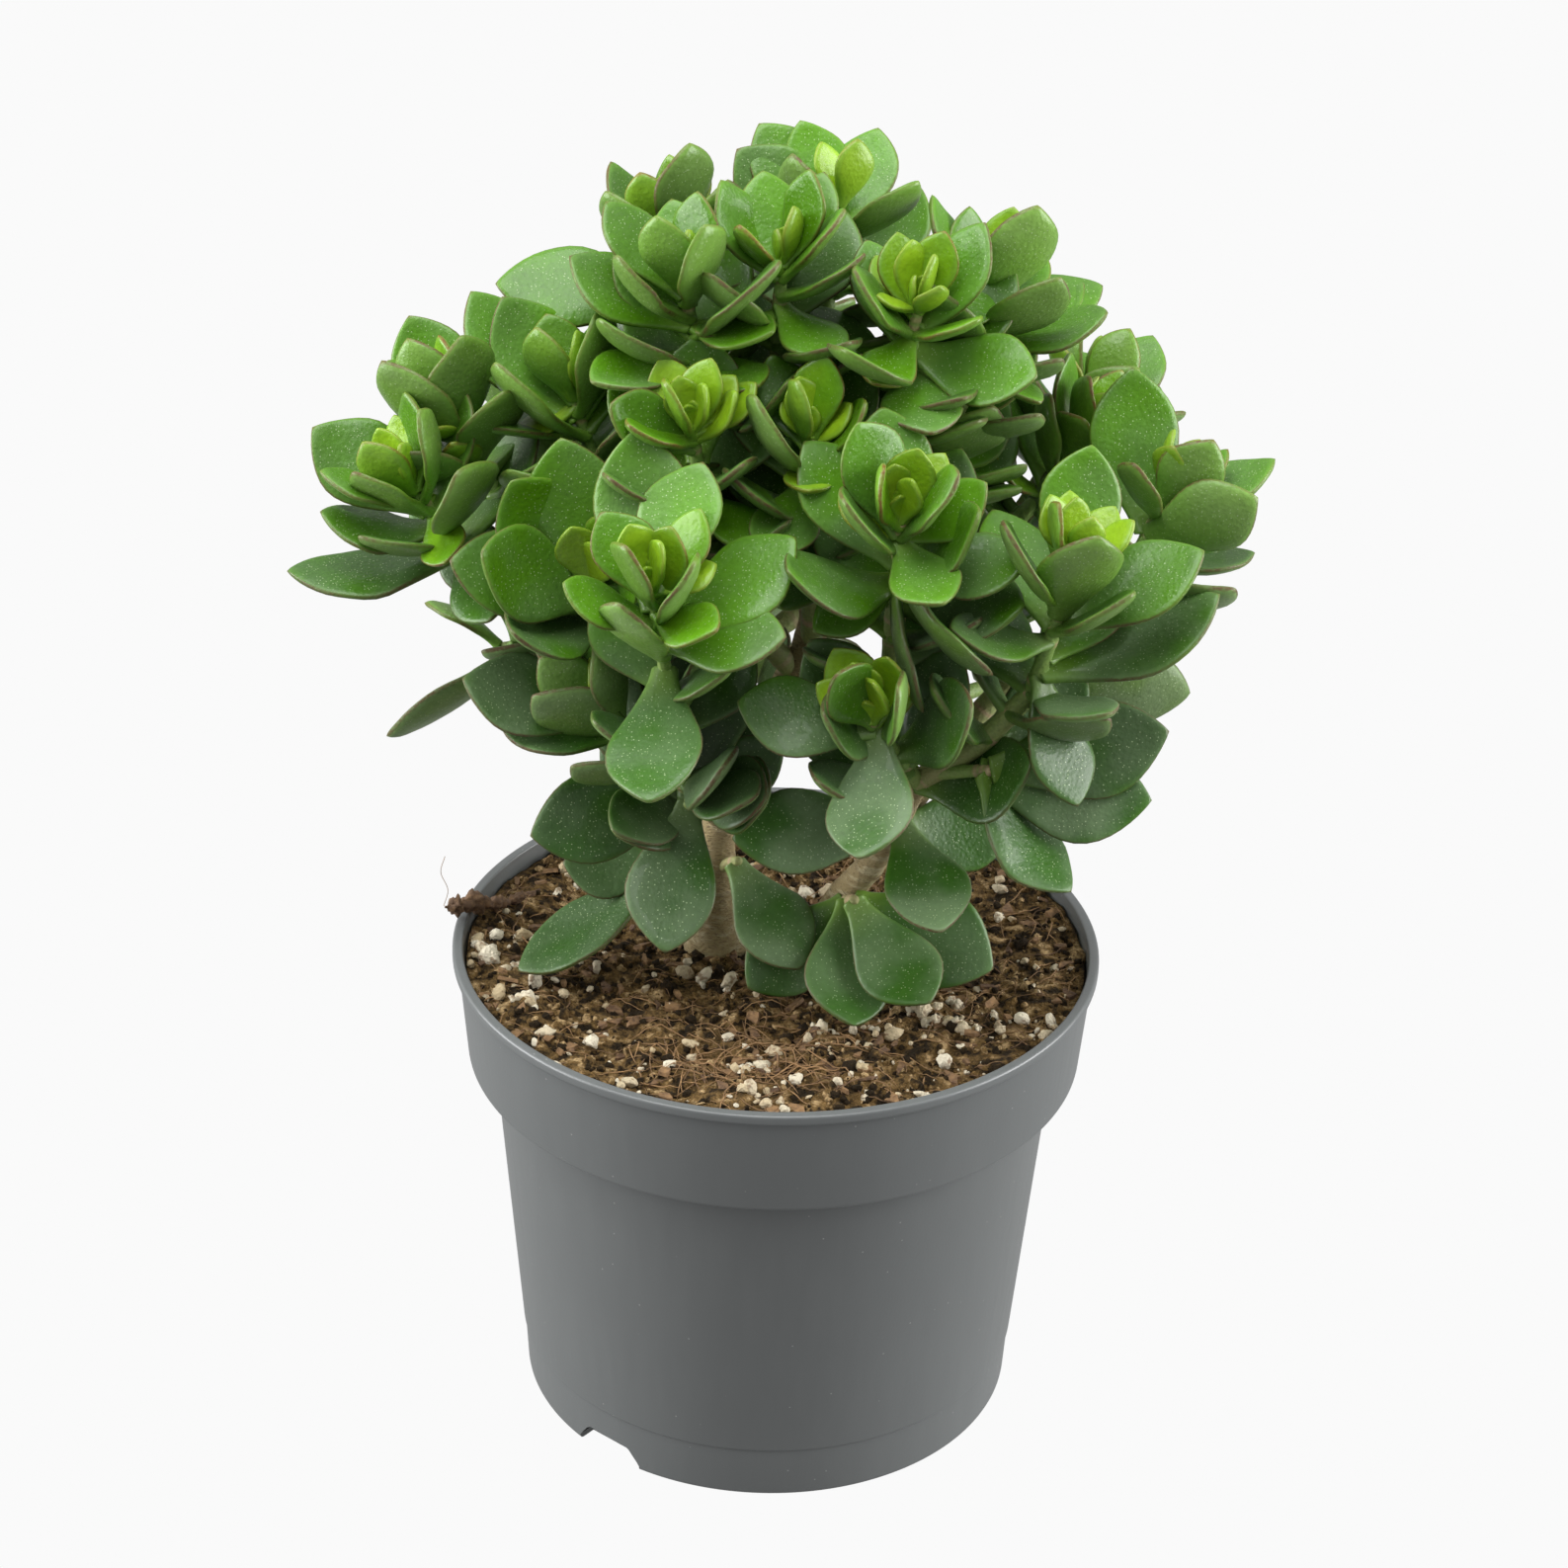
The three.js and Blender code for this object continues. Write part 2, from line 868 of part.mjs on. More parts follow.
/** The empty pot: foot, tapered body, shoulder, band and lip, with its drain holes and slots. */
function makePot() {
  const outside = potWall(0);
  const inside = potWall(POT.wall);
  inside[0] = [inside[0][0], POT.floor];
  const foot = outside[1];
  const profile = [
    [0, 0],
    outside[0],
    [foot[0] - POT.footStep, foot[1]],
    [foot[0], foot[1] + POT.footStep],
    ...outside.slice(2),
    [POT.rimRadius, POT.height - POT.lipHeight + POT.lipEdge],
    [POT.rimRadius, POT.height - POT.lipEdge],
    [POT.rimRadius - POT.lipEdge, POT.height],
    [bandTopRadius - POT.wall, POT.height],
    ...inside.reverse(),
    [0, POT.floor],
  ].map(([radius, z]) => new THREE.Vector2(radius, z));
  let pot = solid(new THREE.LatheGeometry(profile, POT.sides).rotateX(Math.PI / 2));
  const ring = DRAIN_HOLE.ringShare * bodyBottomRadius;
  const depth = 4 * POT.floor; // from well under the floor to well over it
  for (let hole = 0; hole < DRAIN_HOLE.count; hole++) {
    const angle = (hole / DRAIN_HOLE.count) * 2 * Math.PI;
    const { radius, sides } = DRAIN_HOLE;
    const cutter = new THREE.CylinderGeometry(radius, radius, depth, sides)
      .rotateX(Math.PI / 2)
      .translate(ring * Math.cos(angle), ring * Math.sin(angle), 0);
    pot = pot.subtract(solid(cutter));
  }
  for (let slot = 0; slot < FOOT_SLOT.count; slot++) {
    pot = pot.subtract(footSlot(FOOT_SLOT.firstAngle + (slot * 360) / FOOT_SLOT.count, 0));
  }
  return pot;
}

/** The block that cuts one drain slot, at an angle in degrees from +X, wider by grow all round. */
function footSlot(angle, grow) {
  const half = FOOT_SLOT.bottomWidth / 2 + grow;
  const top = FOOT_SLOT.topWidth / 2 + grow;
  const straight = FOOT_SLOT.height * FOOT_SLOT.straightShare;
  const outline = new THREE.Shape();
  outline.moveTo(-half, -POT.floor);
  outline.lineTo(half, -POT.floor);
  outline.lineTo(half, straight);
  outline.lineTo(top, FOOT_SLOT.height + grow);
  outline.lineTo(-top, FOOT_SLOT.height + grow);
  outline.lineTo(-half, straight);
  const depth = FOOT_SLOT.reach + grow;
  const block = new THREE.ExtrudeGeometry(outline, { depth: 3 * depth, bevelEnabled: false });
  block.rotateX(Math.PI / 2);
  block.rotateZ(Math.PI / 2);
  block.translate(bodyBottomRadius - depth, 0, 0);
  block.rotateZ(THREE.MathUtils.degToRad(angle));
  return solid(block);
}

const soilLevel = POT.height - SOIL.belowRim;

/** Height of the lumpy soil at a place. */
function soilHeight(x, y) {
  const small = Math.sin(x * SOIL.wavesRight + SOIL.waveStart) * Math.cos(y * SOIL.wavesBack);
  const broad = Math.sin(SOIL.wavesAcross * (x + y)) / 2;
  return soilLevel + SOIL.roughness * (small + broad);
}

/** The root ball: it fills the pot up to the soil level, and its top is lumpy. */
function makeSoil() {
  const inset = POT.wall + GAP;
  const wall = potWall(inset).slice(0, 4);
  const floor = POT.floor + GAP;
  const top = soilLevel;
  const share = (top - wall[3][1]) / (POT.height - POT.lipHeight - wall[3][1]);
  const edge = THREE.MathUtils.lerp(bandBottomRadius, bandTopRadius, share) - inset;
  const shoulder = wall[2][1] + GAP;
  const profile = [
    [0, floor],
    [wall[0][0], floor],
    wall[1],
    [wall[2][0], shoulder],
    [wall[3][0], shoulder],
    [edge, top - 2 * SOIL.roughness],
  ];
  for (let ring = SOIL.rings; ring >= 0; ring--) {
    profile.push([(edge * SOIL.topShare * ring) / SOIL.rings, top]);
  }
  const points = profile.map(([radius, z]) => new THREE.Vector2(radius, z));
  const geometry = new THREE.LatheGeometry(points, POT.sides).rotateX(Math.PI / 2);
  const position = geometry.attributes.position;
  for (let i = 0; i < position.count; i++) {
    if (position.getZ(i) > top - GAP) {
      position.setZ(i, soilHeight(position.getX(i), position.getY(i)));
    }
  }
  return solid(geometry);
}

/** A stick that leans from the soil over the rim. */
function makeTwig() {
  const high = POT.height + BARK_TWIG.radius + GAP + BARK_TWIG.lift;
  const from = new THREE.Vector2(...BARK_TWIG.from).multiplyScalar(POT.rimRadius);
  const to = new THREE.Vector2(...BARK_TWIG.to).multiplyScalar(POT.rimRadius);
  const low = soilHeight(from.x, from.y) + BARK_TWIG.radius + GAP;
  const rows = BARK_TWIG.taper.map((thin, i, taper) => {
    const share = i / (taper.length - 1);
    const { x, y } = from.clone().lerp(to, share);
    return [x, y, THREE.MathUtils.lerp(low, high, share), BARK_TWIG.radius * thin];
  });
  return stem(rows, STEM.sides);
}

/** One grain of perlite, resting on the soil. */
function makeGrain({ at, radius }) {
  const grain = new THREE.IcosahedronGeometry(radius, 0);
  grain.scale(...PERLITE_SHAPE);
  const [x, y] = at.map((share) => share * POT.rimRadius);
  grain.translate(x, y, soilHeight(x, y) + radius * PERLITE_SHAPE[2]);
  return solid(grain);
}

// ---- Assembly ------------------------------------------------------------------------------

const finish = (color, roughness) => new THREE.MeshStandardMaterial({ color, roughness, metalness: 0 });

const plant = new THREE.Group();
const placed = [];

/** Adds a piece to the part. */
function add(name, body, material) {
  const mesh = new THREE.Mesh(geometryOf(body), material);
  mesh.name = name;
  plant.add(mesh);
}

/** Adds a piece, cut clear of every piece placed before it, and keeps its outer shape for later ones. */
function place(name, body, clearance, material) {
  let trimmed = body;
  for (const other of placed) {
    trimmed = trimmed.subtract(other);
  }
  placed.push(clearance);
  add(name, largestBody(trimmed), material);
}

/** Moves a solid of the growth plan to its place: on the soil, and as large as suits the pot. */
const planted = (body) => body.scale(POT.rimRadius / PLAN_RIM_RADIUS).translate([0, 0, soilLevel]);

const potPlastic = finish(0x5f6260, 0.45);
const soilBrown = finish(0x4a3424, 0.95);
const bark = finish(0x94805a, 0.8);
const greenBark = finish(0x8a9a58, 0.6);
const leafGreen = finish(0x4d8434, 0.4);
const white = finish(0xd8cfb8, 0.9);

add("pot", makePot(), potPlastic);

for (const [name, rows] of Object.entries(WOOD)) {
  const material = name.startsWith("limb") ? greenBark : bark;
  const sides = name.startsWith("limb") ? STEM.sides : STEM.woodSides;
  place(name, planted(stem(rows, sides)), planted(stem(rows, sides, GAP)), material);
}
for (const [name, plan] of Object.entries(SHOOTS)) {
  place("shoot_" + name, planted(shoot(plan)), planted(shoot(plan, GAP)), leafGreen);
}

let soil = makeSoil();
for (let slot = 0; slot < FOOT_SLOT.count; slot++) {
  soil = soil.subtract(footSlot(FOOT_SLOT.firstAngle + (slot * 360) / FOOT_SLOT.count, GAP));
}
place("soil", soil, soil, soilBrown);
place("bark_twig", makeTwig(), makeTwig(), bark);
PERLITE.forEach((grain, i) => {
  place("perlite_" + (i + 1), makeGrain(grain), makeGrain(grain), white);
});

export default plant;
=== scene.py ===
import logging
import math
from dataclasses import dataclass, field
from enum import Enum
from typing import Iterator, Sequence

import bpy
import numpy as np
from mathutils import Matrix, Vector


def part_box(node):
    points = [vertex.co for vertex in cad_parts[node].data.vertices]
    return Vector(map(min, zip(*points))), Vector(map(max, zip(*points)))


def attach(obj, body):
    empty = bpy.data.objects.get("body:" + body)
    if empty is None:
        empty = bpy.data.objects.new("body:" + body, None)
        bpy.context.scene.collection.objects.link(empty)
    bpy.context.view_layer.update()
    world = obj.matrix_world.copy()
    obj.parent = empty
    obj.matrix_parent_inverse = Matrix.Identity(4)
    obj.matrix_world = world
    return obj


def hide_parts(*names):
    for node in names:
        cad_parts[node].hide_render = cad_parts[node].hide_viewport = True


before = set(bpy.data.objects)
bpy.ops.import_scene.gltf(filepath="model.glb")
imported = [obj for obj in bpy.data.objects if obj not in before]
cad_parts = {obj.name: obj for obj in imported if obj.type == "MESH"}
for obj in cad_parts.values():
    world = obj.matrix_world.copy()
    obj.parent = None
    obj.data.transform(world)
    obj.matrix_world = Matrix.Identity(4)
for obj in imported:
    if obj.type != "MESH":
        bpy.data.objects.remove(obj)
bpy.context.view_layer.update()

# Potted jade plant (Crassula ovata) in a round nursery pot. Metres, +Z up, the front at -Y.
# The growth plan and the leaf's proportions are given in millimetres, as in the part's design.

MM = 0.001
SEED = 20
BODY = "root"


def box_of(node: str) -> tuple[np.ndarray, np.ndarray]:
    """Gives a CAD node's lowest and highest corners in millimetres, to a thousandth."""
    low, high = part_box(node)
    return np.round(np.array(low) / MM, 3), np.round(np.array(high) / MM, 3)


POT_RIM, _, POT_TOP = box_of("pot")[1]  # the pot's outer radius at its rim, and its height
BELOW_RIM = 6.2  # from the rim down to the soil
SOIL_LEVEL = POT_TOP - BELOW_RIM

log = logging.getLogger("jade_plant")

Row = tuple[float, ...]
Colour = tuple[float, float, float]


# ---- Growth plan ----------------------------------------------------------------------------


@dataclass(frozen=True)
class ShootPlan:
    """One leafy shoot. Lengths are in millimetres.

    Attributes:
        name: the shoot's name, which is its node's name without "shoot_".
        limb: the stem or limb that it grows from.
        share: how far along that limb, from 0 to 1.
        rise: from its base to its bud, to the right, to the back and up.
        leaves: rows of the share of the shoot's length, then the reach of the leaf's tip to the
            right, to the back and up, and at times how far its face turns to the front.
    """

    name: str
    limb: str
    share: float
    rise: Row
    leaves: list[Row]


WOOD: dict[str, list[Row]] = {
    "trunk": [
        (-16, 7, -25, 5), (-16, 7, -1, 8.4), (-16, 6, 9, 5.4), (-15, 4, 41, 4.5), (-4, 4, 69, 4.1),
        (7, 4, 95, 3.8), (5, 7, 117, 3.2),
    ],
    "second_stem": [
        (8, 5, -25, 4), (10, 4, 1, 4.6), (16, 0, 18, 4.2), (24, -12, 37, 3.6), (34, -31, 71, 3),
    ],
    "limb_front": [(-15, 4, 41, 3.4), (-21, -16, 57, 3.1), (-24, -30, 70, 2.8)],
    "limb_left": [(-8, 4, 61, 3.2), (-44, 4, 91, 2.9), (-77, -5, 116, 2.5)],
    "limb_upper_left": [(6, 6, 105, 3), (-36, 7, 119, 2.8), (-73, 5, 130, 2.5)],
    "limb_leader": [(5, 7, 116, 3), (-10, 6, 139, 2.8), (-21, 0, 164, 2.5)],
    "limb_top": [(5, 7, 117, 3), (-2, 7, 145, 2.7), (-3, 5, 172, 2.4)],
    "limb_top_left_back": [(5, 8, 113, 3), (-14, 19, 139, 2.7), (-27, 25, 169, 2.4)],
    "limb_top_back": [(6, 8, 113, 3), (5, 22, 139, 2.7), (8, 30, 168, 2.4)],
    "limb_top_right": [(7, 5, 103, 3.1), (20, 4, 131, 2.8), (28, 0, 163, 2.4)],
    "limb_right_back": [(7, 5, 99, 3.1), (30, 13, 127, 2.8), (45, 15, 160, 2.4)],
    "limb_centre_left": [(2, 3, 85, 2.9), (-15, -8, 111, 2.7), (-20, -15, 136, 2.4)],
    "limb_centre": [(7, 3, 93, 2.9), (7, -6, 111, 2.7), (5, -10, 129, 2.4)],
    "limb_centre_right": [(32, -28, 65, 2.9), (27, -26, 95, 2.7), (27, -30, 120, 2.4)],
    "limb_right": [(26, -16, 45, 3.1), (54, -6, 83, 2.9), (83, -5, 112, 2.5)],
    "limb_inner_right": [(38, -12, 63, 2.9), (50, 18, 101, 2.7), (67, 45, 123, 2.4)],
    "limb_right_front": [(34, -31, 71, 2.9), (48, -35, 84, 2.8), (61, -35, 99, 2.5)],
    "limb_back": [(-15, 6, 53, 3.2), (-12, 34, 83, 2.9), (-6, 52, 117, 2.5)],
    "limb_back_left": [(-13, 22, 71, 2.9), (-36, 36, 89, 2.7), (-50, 44, 113, 2.4)],
    "limb_back_right": [(-12, 28, 75, 2.9), (14, 44, 91, 2.7), (34, 58, 113, 2.4)],
}

SHOOTS: list[ShootPlan] = [
    ShootPlan("top_left", "limb_leader", 1, (-5, -5, 26), [
        (0.8, -5, 20, 20), (0.6, 20, -15, 5), (0.9, -20, 10, 20), (0.6, -30, 5, 15), (0.4, 10, 15, 20),
        (0.3, -25, -20, 0), (0.3, 15, -20, 0),
    ]),
    ShootPlan("top_left_back", "limb_top_left_back", 1, (-5, 5, 21), [
        (0.8, -15, 10, 20), (0.9, -15, 0, 10), (0.9, 0, 10, 20), (1, 5, 5, 10), (1, 10, 10, 15),
        (0.4, -45, 0, 0, 0.6), (0.4, 5, 25, 10),
    ]),
    ShootPlan("top_middle", "limb_top", 1, (0, -2, 22), [
        (0.8, -15, 5, 23), (0.9, -5, 15, 20), (0.9, 10, 15, 20), (0.9, -10, -10, 15), (0.8, 15, -5, 20),
        (0.6, 20, -10, 15), (0.5, 15, -20, -5), (0.4, -20, -15, 0),
    ]),
    ShootPlan("top_middle_back", "limb_top_back", 1, (3, 8, 28), [
        (0.7, -25, 10, 20, 0.8), (0.8, -20, 15, 22, 0.8), (0.9, -10, 15, 20, 0.8), (1, -5, 5, 15, 0.5),
        (0.8, 10, 20, 20), (0.7, 20, -10, 20), (0.3, 5, 25, 10), (0.3, 25, 0, 5),
    ]),
    ShootPlan("top_right", "limb_top_right", 1, (2, -5, 23), [
        (0.9, -5, 10, 18), (0.9, -10, 15, 10), (0.7, -15, -10, 20), (1, 5, -10, 10), (1, -10, -5, 5),
        (0.7, -10, -20, -5), (0.5, -20, 15, -5), (0.8, 20, 20, 5), (0.7, 15, -15, 10),
        (0.5, 30, -15, 0, 0.5), (0.3, 5, -30, -5),
    ]),
    ShootPlan("top_right_back", "limb_right_back", 1, (4, 5, 23), [
        (0.6, 30, 15, 5, 0.4), (0.5, 30, -10, 10, 0.4), (1, 7, 14, 11), (1, -5, -5, 13),
        (0.9, -15, 10, 22), (0.8, -5, 15, 20), (0.7, 15, 15, 10), (0.3, 0, 25, 0), (0.3, 15, -20, -5),
    ]),
    ShootPlan("upper_left", "limb_upper_left", 1, (-9, 3, 19), [
        (0.8, -15, 15, 25), (0.8, -20, 10, 15), (1, -10, 5, 10), (1, -5, 5, 20), (0.9, 0, 10, 20),
        (0.9, -10, -15, 5), (0.5, -5, -15, 10),
    ]),
    ShootPlan("far_left", "limb_left", 1, (-15, -5, 22), [
        (0.7, -30, 10, 17), (0.8, -25, -5, 10), (0.8, 5, 15, 5), (1, -5, 10, 15), (0.5, -30, -5, 5),
        (0.2, -43, -8, -4), (0.7, 5, -20, -5), (0.3, 10, -25, -10),
    ]),
    ShootPlan("left", "limb_upper_left", 0.6, (-10, -2, 37), [
        (0.9, -8, 10, 20), (0.8, -15, 15, 10), (0.9, -15, -5, -5), (1, 0, 10, 12), (0.7, -30, -5, 5),
        (0.8, -28, 15, 27), (0.8, -20, 12, 27), (0.8, 5, 10, 23), (0.9, 10, 5, 15), (0.7, 10, 15, 27),
        (0.5, 10, -25, 0), (0.4, -20, -20, -5),
    ]),
    ShootPlan("centre_left", "limb_centre_left", 1, (-3, -10, 25), [
        (0.8, -20, -10, 15, 0.7), (1, -8, 8, 16, 0.5), (1, 10, 5, 13), (1, 15, 3, 12), (0.9, 10, -5, 15),
        (0.6, 0, 15, 28), (0.9, -15, -15, 10), (0.3, 10, -20, 15), (0.3, -25, -10, 5),
        (0.2, 15, -18, -5),
    ]),
    ShootPlan("centre", "limb_centre", 1, (0, -10, 29), [
        (0.9, -10, 15, 18), (0.9, 0, 20, 15), (1, -7, 3, 9), (1, 3, 9, 7), (0.8, 0, -20, 0),
        (0.9, 10, 0, 12), (0.8, 13, -7, 18), (0.6, 10, 18, 27), (0.6, -10, -25, -10),
        (0.3, 20, -20, -10), (0.2, -5, -30, -12),
    ]),
    ShootPlan("centre_right", "limb_centre_right", 1, (0, -15, 28), [
        (0.9, -5, 18, 24), (0.9, 0, 10, 17), (1, 10, 7, 15), (0.8, 20, 0, 15), (0.8, -15, 0, 10),
        (0.8, 10, -25, -5), (0.6, 23, -17, -23, -0.5), (0.3, 7, -18, -27, -0.5), (0.5, 30, -10, 5),
        (0.3, -20, -10, -10),
    ]),
    ShootPlan("centre_back", "limb_right_back", 0.5, (9, 2, 26), [
        (0.8, -15, 5, 10), (0.8, -13, 13, 17), (0.5, 15, 0, 20, 0.8), (0.4, 25, -17, 8),
        (0.7, 25, 12, 20), (0.3, 5, 25, 8),
    ]),
    ShootPlan("right_upper", "limb_right", 1, (11, 5, 25), [
        (0.6, -5, 18, 37, 0.9), (1, 0, -7, 16), (1, 6, 10, 6), (0.8, 17, 7, 15), (0.7, 30, 8, 15),
        (0.6, 25, -12, 16, -0.7), (0.4, 30, 7, -2), (0.8, -8, -15, 20), (0.3, -10, -25, 0),
    ]),
    ShootPlan("right_inner", "limb_inner_right", 0.75, (17, -3, 26), [
        (0.9, 0, 16, 9), (0.9, 10, 12, 9), (0.8, 2, -15, 17), (0.6, -3, -9, 26), (0.4, -13, -8, 14),
        (0.6, 25, -15, 5),
    ]),
    ShootPlan("right_back", "limb_inner_right", 1, (12, 15, 14), [
        (0.8, 5, 27, 5), (0.8, 20, 23, 0), (0.6, 30, 12, 0), (0.6, -10, 25, 5), (0.4, 20, -7, 2),
        (0.3, -13, 18, -6), (0.9, 10, 5, 20), (0.9, -10, 0, 18),
    ]),
    ShootPlan("right_front", "limb_right_front", 1, (8, -10, 40), [
        (0.8, 5, 17, 30), (1, -7, 5, 15), (1, -2, 10, 14), (1, 9, 8, 11), (1, 13, 0, 11),
        (0.6, 7, -15, 28), (0.5, 35, 3, 20), (0.15, 43, 5, 20), (0.15, 10, -18, -27), (0.5, -15, 24, 20),
        (0.4, -25, -15, 10),
    ]),
    ShootPlan("front_left", "limb_front", 1, (-7, -30, 65), [
        (1, 11, 20, 25), (1, 11, 9, 18), (1, 15, 4, 6), (0.9, 15, -17, 4), (0.8, 32, 12, 20),
        (0.75, 30, -12, 8), (0.9, -6, 23, 37), (0.95, -13, 9, 19), (0.85, -22, -5, 12),
        (0.6, -2, -43, -13),
    ]),
    ShootPlan("left_front", "limb_left", 0.45, (-6, -36, 35), [
        (0.8, -21, -5, 33), (0.9, -9, 8, 37), (1, -5, -6, 18), (0.8, -27, -20, 21), (0.7, -36, -15, 18),
        (0.6, -21, -29, 8), (0.5, -27, -12, 10), (0.8, 20, -10, 25),
    ]),
    ShootPlan("left_low", "limb_front", 0.95, (-20, 1, 19), [
        (0.9, -37, -2, 10, 0.5), (0.7, -31, -3, 0, 0.3), (1, -10, 10, 22),
    ]),
    ShootPlan("front_pair", "limb_front", 0.6, (-1, -15, 5), [
        (0.6, 5, 14, 40), (0.6, -5, -28, -28), (0.5, 23, 10, 11), (0.2, -40, -14, -5, 0.8),
    ]),
    ShootPlan("lower_left", "trunk", 0.4, (-16, -10, 11), [
        (0.8, -27, 0, 0), (0.7, -26, 14, -5), (0.9, -36, -16, -24),
    ]),
    ShootPlan("lower_centre", "trunk", 0.42, (6, -10, 8), [
        (0.8, 18, -20, -20),
    ]),
    ShootPlan("second_low", "second_stem", 0.5, (4, -14, 9), [
        (0.5, -25, -17, -17), (0.6, 2, -34, -17), (0.9, 20, -27, -14), (0.8, 37, -11, -13),
    ]),
    ShootPlan("second_mid", "second_stem", 0.84, (3, -13, 12), [
        (0.6, -41, -12, 2), (0.9, 10, -32, -13), (0.6, 31, 12, -5),
    ]),
    ShootPlan("second_shoot", "second_stem", 1, (-12, -24, 29), [
        (0.9, -34, 0, 6), (0.9, -4, -29, -20), (1, -10, 7, 16), (1, -14, 2, 9), (0.8, 4, 6, 17),
        (0.3, 12, 10, 27),
    ]),
    ShootPlan("right_low", "limb_right_front", 0.15, (13, -10, 6), [
        (0.9, 22, -15, -25), (0.8, 43, 0, -7), (1, 44, 8, 8),
    ]),
    ShootPlan("back_left", "limb_back_left", 1, (-8, 12, 20), [
        (0.8, -25, -5, 20), (0.8, 18, 8, 22), (1, -6, 16, 18), (0.9, -13, 28, 2), (0.6, -30, 15, -2),
        (0.5, 2, 35, -2), (0.3, -25, -8, -4), (1, -10, -5, 18), (1, 10, 0, 18),
    ]),
    ShootPlan("back", "limb_back", 1, (0, 14, 24), [
        (0.8, -20, 0, 27), (0.8, 22, 3, 25), (1, 0, 16, 24), (0.8, 2, 36, 5), (0.6, -28, 18, 0),
        (0.5, 30, 25, 4), (0.3, 2, 36, -9), (1, 8, 0, 18), (1, -10, 6, 14),
    ]),
    ShootPlan("back_right", "limb_back_right", 1, (6, 12, 18), [
        (0.8, -10, 22, 25), (0.9, 13, 24, 10), (0.7, 28, 20, -9), (0.5, -7, 35, -3), (0.4, 12, -3, 25),
        (1, 10, 4, 18), (1, -12, 2, 14),
    ]),
    ShootPlan("back_low_left", "limb_back_left", 0.35, (-45, 2, -10), [
        (0.9, -34, -8, -24), (0.8, 0, 35, -3), (0.5, 10, 33, -20), (0.9, -10, 15, 20), (1, -20, 5, 10),
    ]),
    ShootPlan("back_low", "limb_back", 0.25, (3, 36, 7), [
        (0.8, -18, 38, 0), (0.9, 15, 40, 0), (0.6, 0, 38, -25), (0.4, 35, 25, -15),
    ]),
    ShootPlan("back_low_right", "limb_inner_right", 0.2, (25, 30, -6), [
        (0.9, 43, 10, -10), (0.8, 10, 40, -20), (0.7, 30, -5, -24), (0.7, -8, 42, 0), (1, 15, 15, 15),
    ]),
]


class Slot(Enum):
    """Names of the material slots."""

    POT = "pot_plastic"
    SOIL = "potting_soil"
    WOOD = "woody_bark"
    GREEN_STEM = "green_stem"
    LEAF = "jade_leaf"
    DRY_BARK = "dry_bark"
    PERLITE = "perlite"


PLANTED = np.array([0, 0, SOIL_LEVEL])  # the growth plan's origin: the middle of the soil's surface


# ---- Numbers --------------------------------------------------------------------------------


def blend_of(low: float, high: float, value: np.ndarray | float) -> np.ndarray:
    """Gives 0 before low, 1 past high and a smooth rise between. High may be below low, for a fall."""
    share = np.clip((np.asarray(value, float) - low) / (high - low), 0, 1)
    return share * share * (3 - 2 * share)


def smooth_profile(knots: Sequence[tuple[float, float]], at: np.ndarray) -> np.ndarray:
    """Reads a smooth curve through a few knots.

    Args:
        knots: pairs of place and height, in rising order of place.
        at: the places to read.

    Returns:
        The curve's height at each place.
    """
    place, height = np.array(knots, float).T
    slope = np.gradient(height, place)
    left = np.clip(np.searchsorted(place, at, side="right") - 1, 0, len(place) - 2)
    step = place[left + 1] - place[left]
    t = (at - place[left]) / step
    return (
        (2 * t**3 - 3 * t**2 + 1) * height[left]
        + (t**3 - 2 * t**2 + t) * step * slope[left]
        + (3 * t**2 - 2 * t**3) * height[left + 1]
        + (t**3 - t**2) * step * slope[left + 1]
    )


def unit(vector: np.ndarray) -> np.ndarray:
    """Gives the vector, or each row of vectors, at length 1."""
    return vector / np.maximum(np.linalg.norm(vector, axis=-1, keepdims=True), 1e-12)


def across_from(vector: np.ndarray, axis: np.ndarray) -> np.ndarray:
    """Gives the part of a vector that is square to a unit axis, at length 1."""
    return unit(vector - np.dot(vector, axis) * axis)


def lattice(cells: np.ndarray, seed: int) -> np.ndarray:
    """Gives a fixed pseudo-random number from -1 to 1 for each whole-number cell.

    Args:
        cells: rows of three whole numbers.
        seed: picks one pattern of many.

    Returns:
        One number for each row.
    """
    mixed = cells[..., 0] * 374761393 + cells[..., 1] * 668265263 + cells[..., 2] * 2147483647
    mixed = (mixed + seed * 1274126177) & 0xFFFFFFFF
    mixed = ((mixed ^ (mixed >> 13)) * 1274126177) & 0xFFFFFFFF
    return ((mixed ^ (mixed >> 16)) & 0xFFFF) / 32767.5 - 1


def lumps(points: np.ndarray, size: float, seed: int, octaves: int = 1) -> np.ndarray:
    """Gives smooth solid noise from about -1 to 1.

    Args:
        points: rows of x, y, z.
        size: width of one lump, in the points' unit.
        seed: picks one pattern of many.
        octaves: how many layers, each half as wide and half as strong as the one before.

    Returns:
        One number for each row.
    """
    total = np.zeros(len(points))
    for layer in range(octaves):
        scaled = points * (2**layer / size) + 100.5
        cell = np.floor(scaled).astype(np.int64)
        part = scaled - cell
        part = part * part * (3 - 2 * part)
        for corner in range(8):
            offset = np.array([corner & 1, corner >> 1 & 1, corner >> 2])
            weight = np.prod(np.where(offset, part, 1 - part), axis=1)
            total += lattice(cell + offset, seed + layer) * weight / 2**layer
    return total


# ---- Meshes ---------------------------------------------------------------------------------


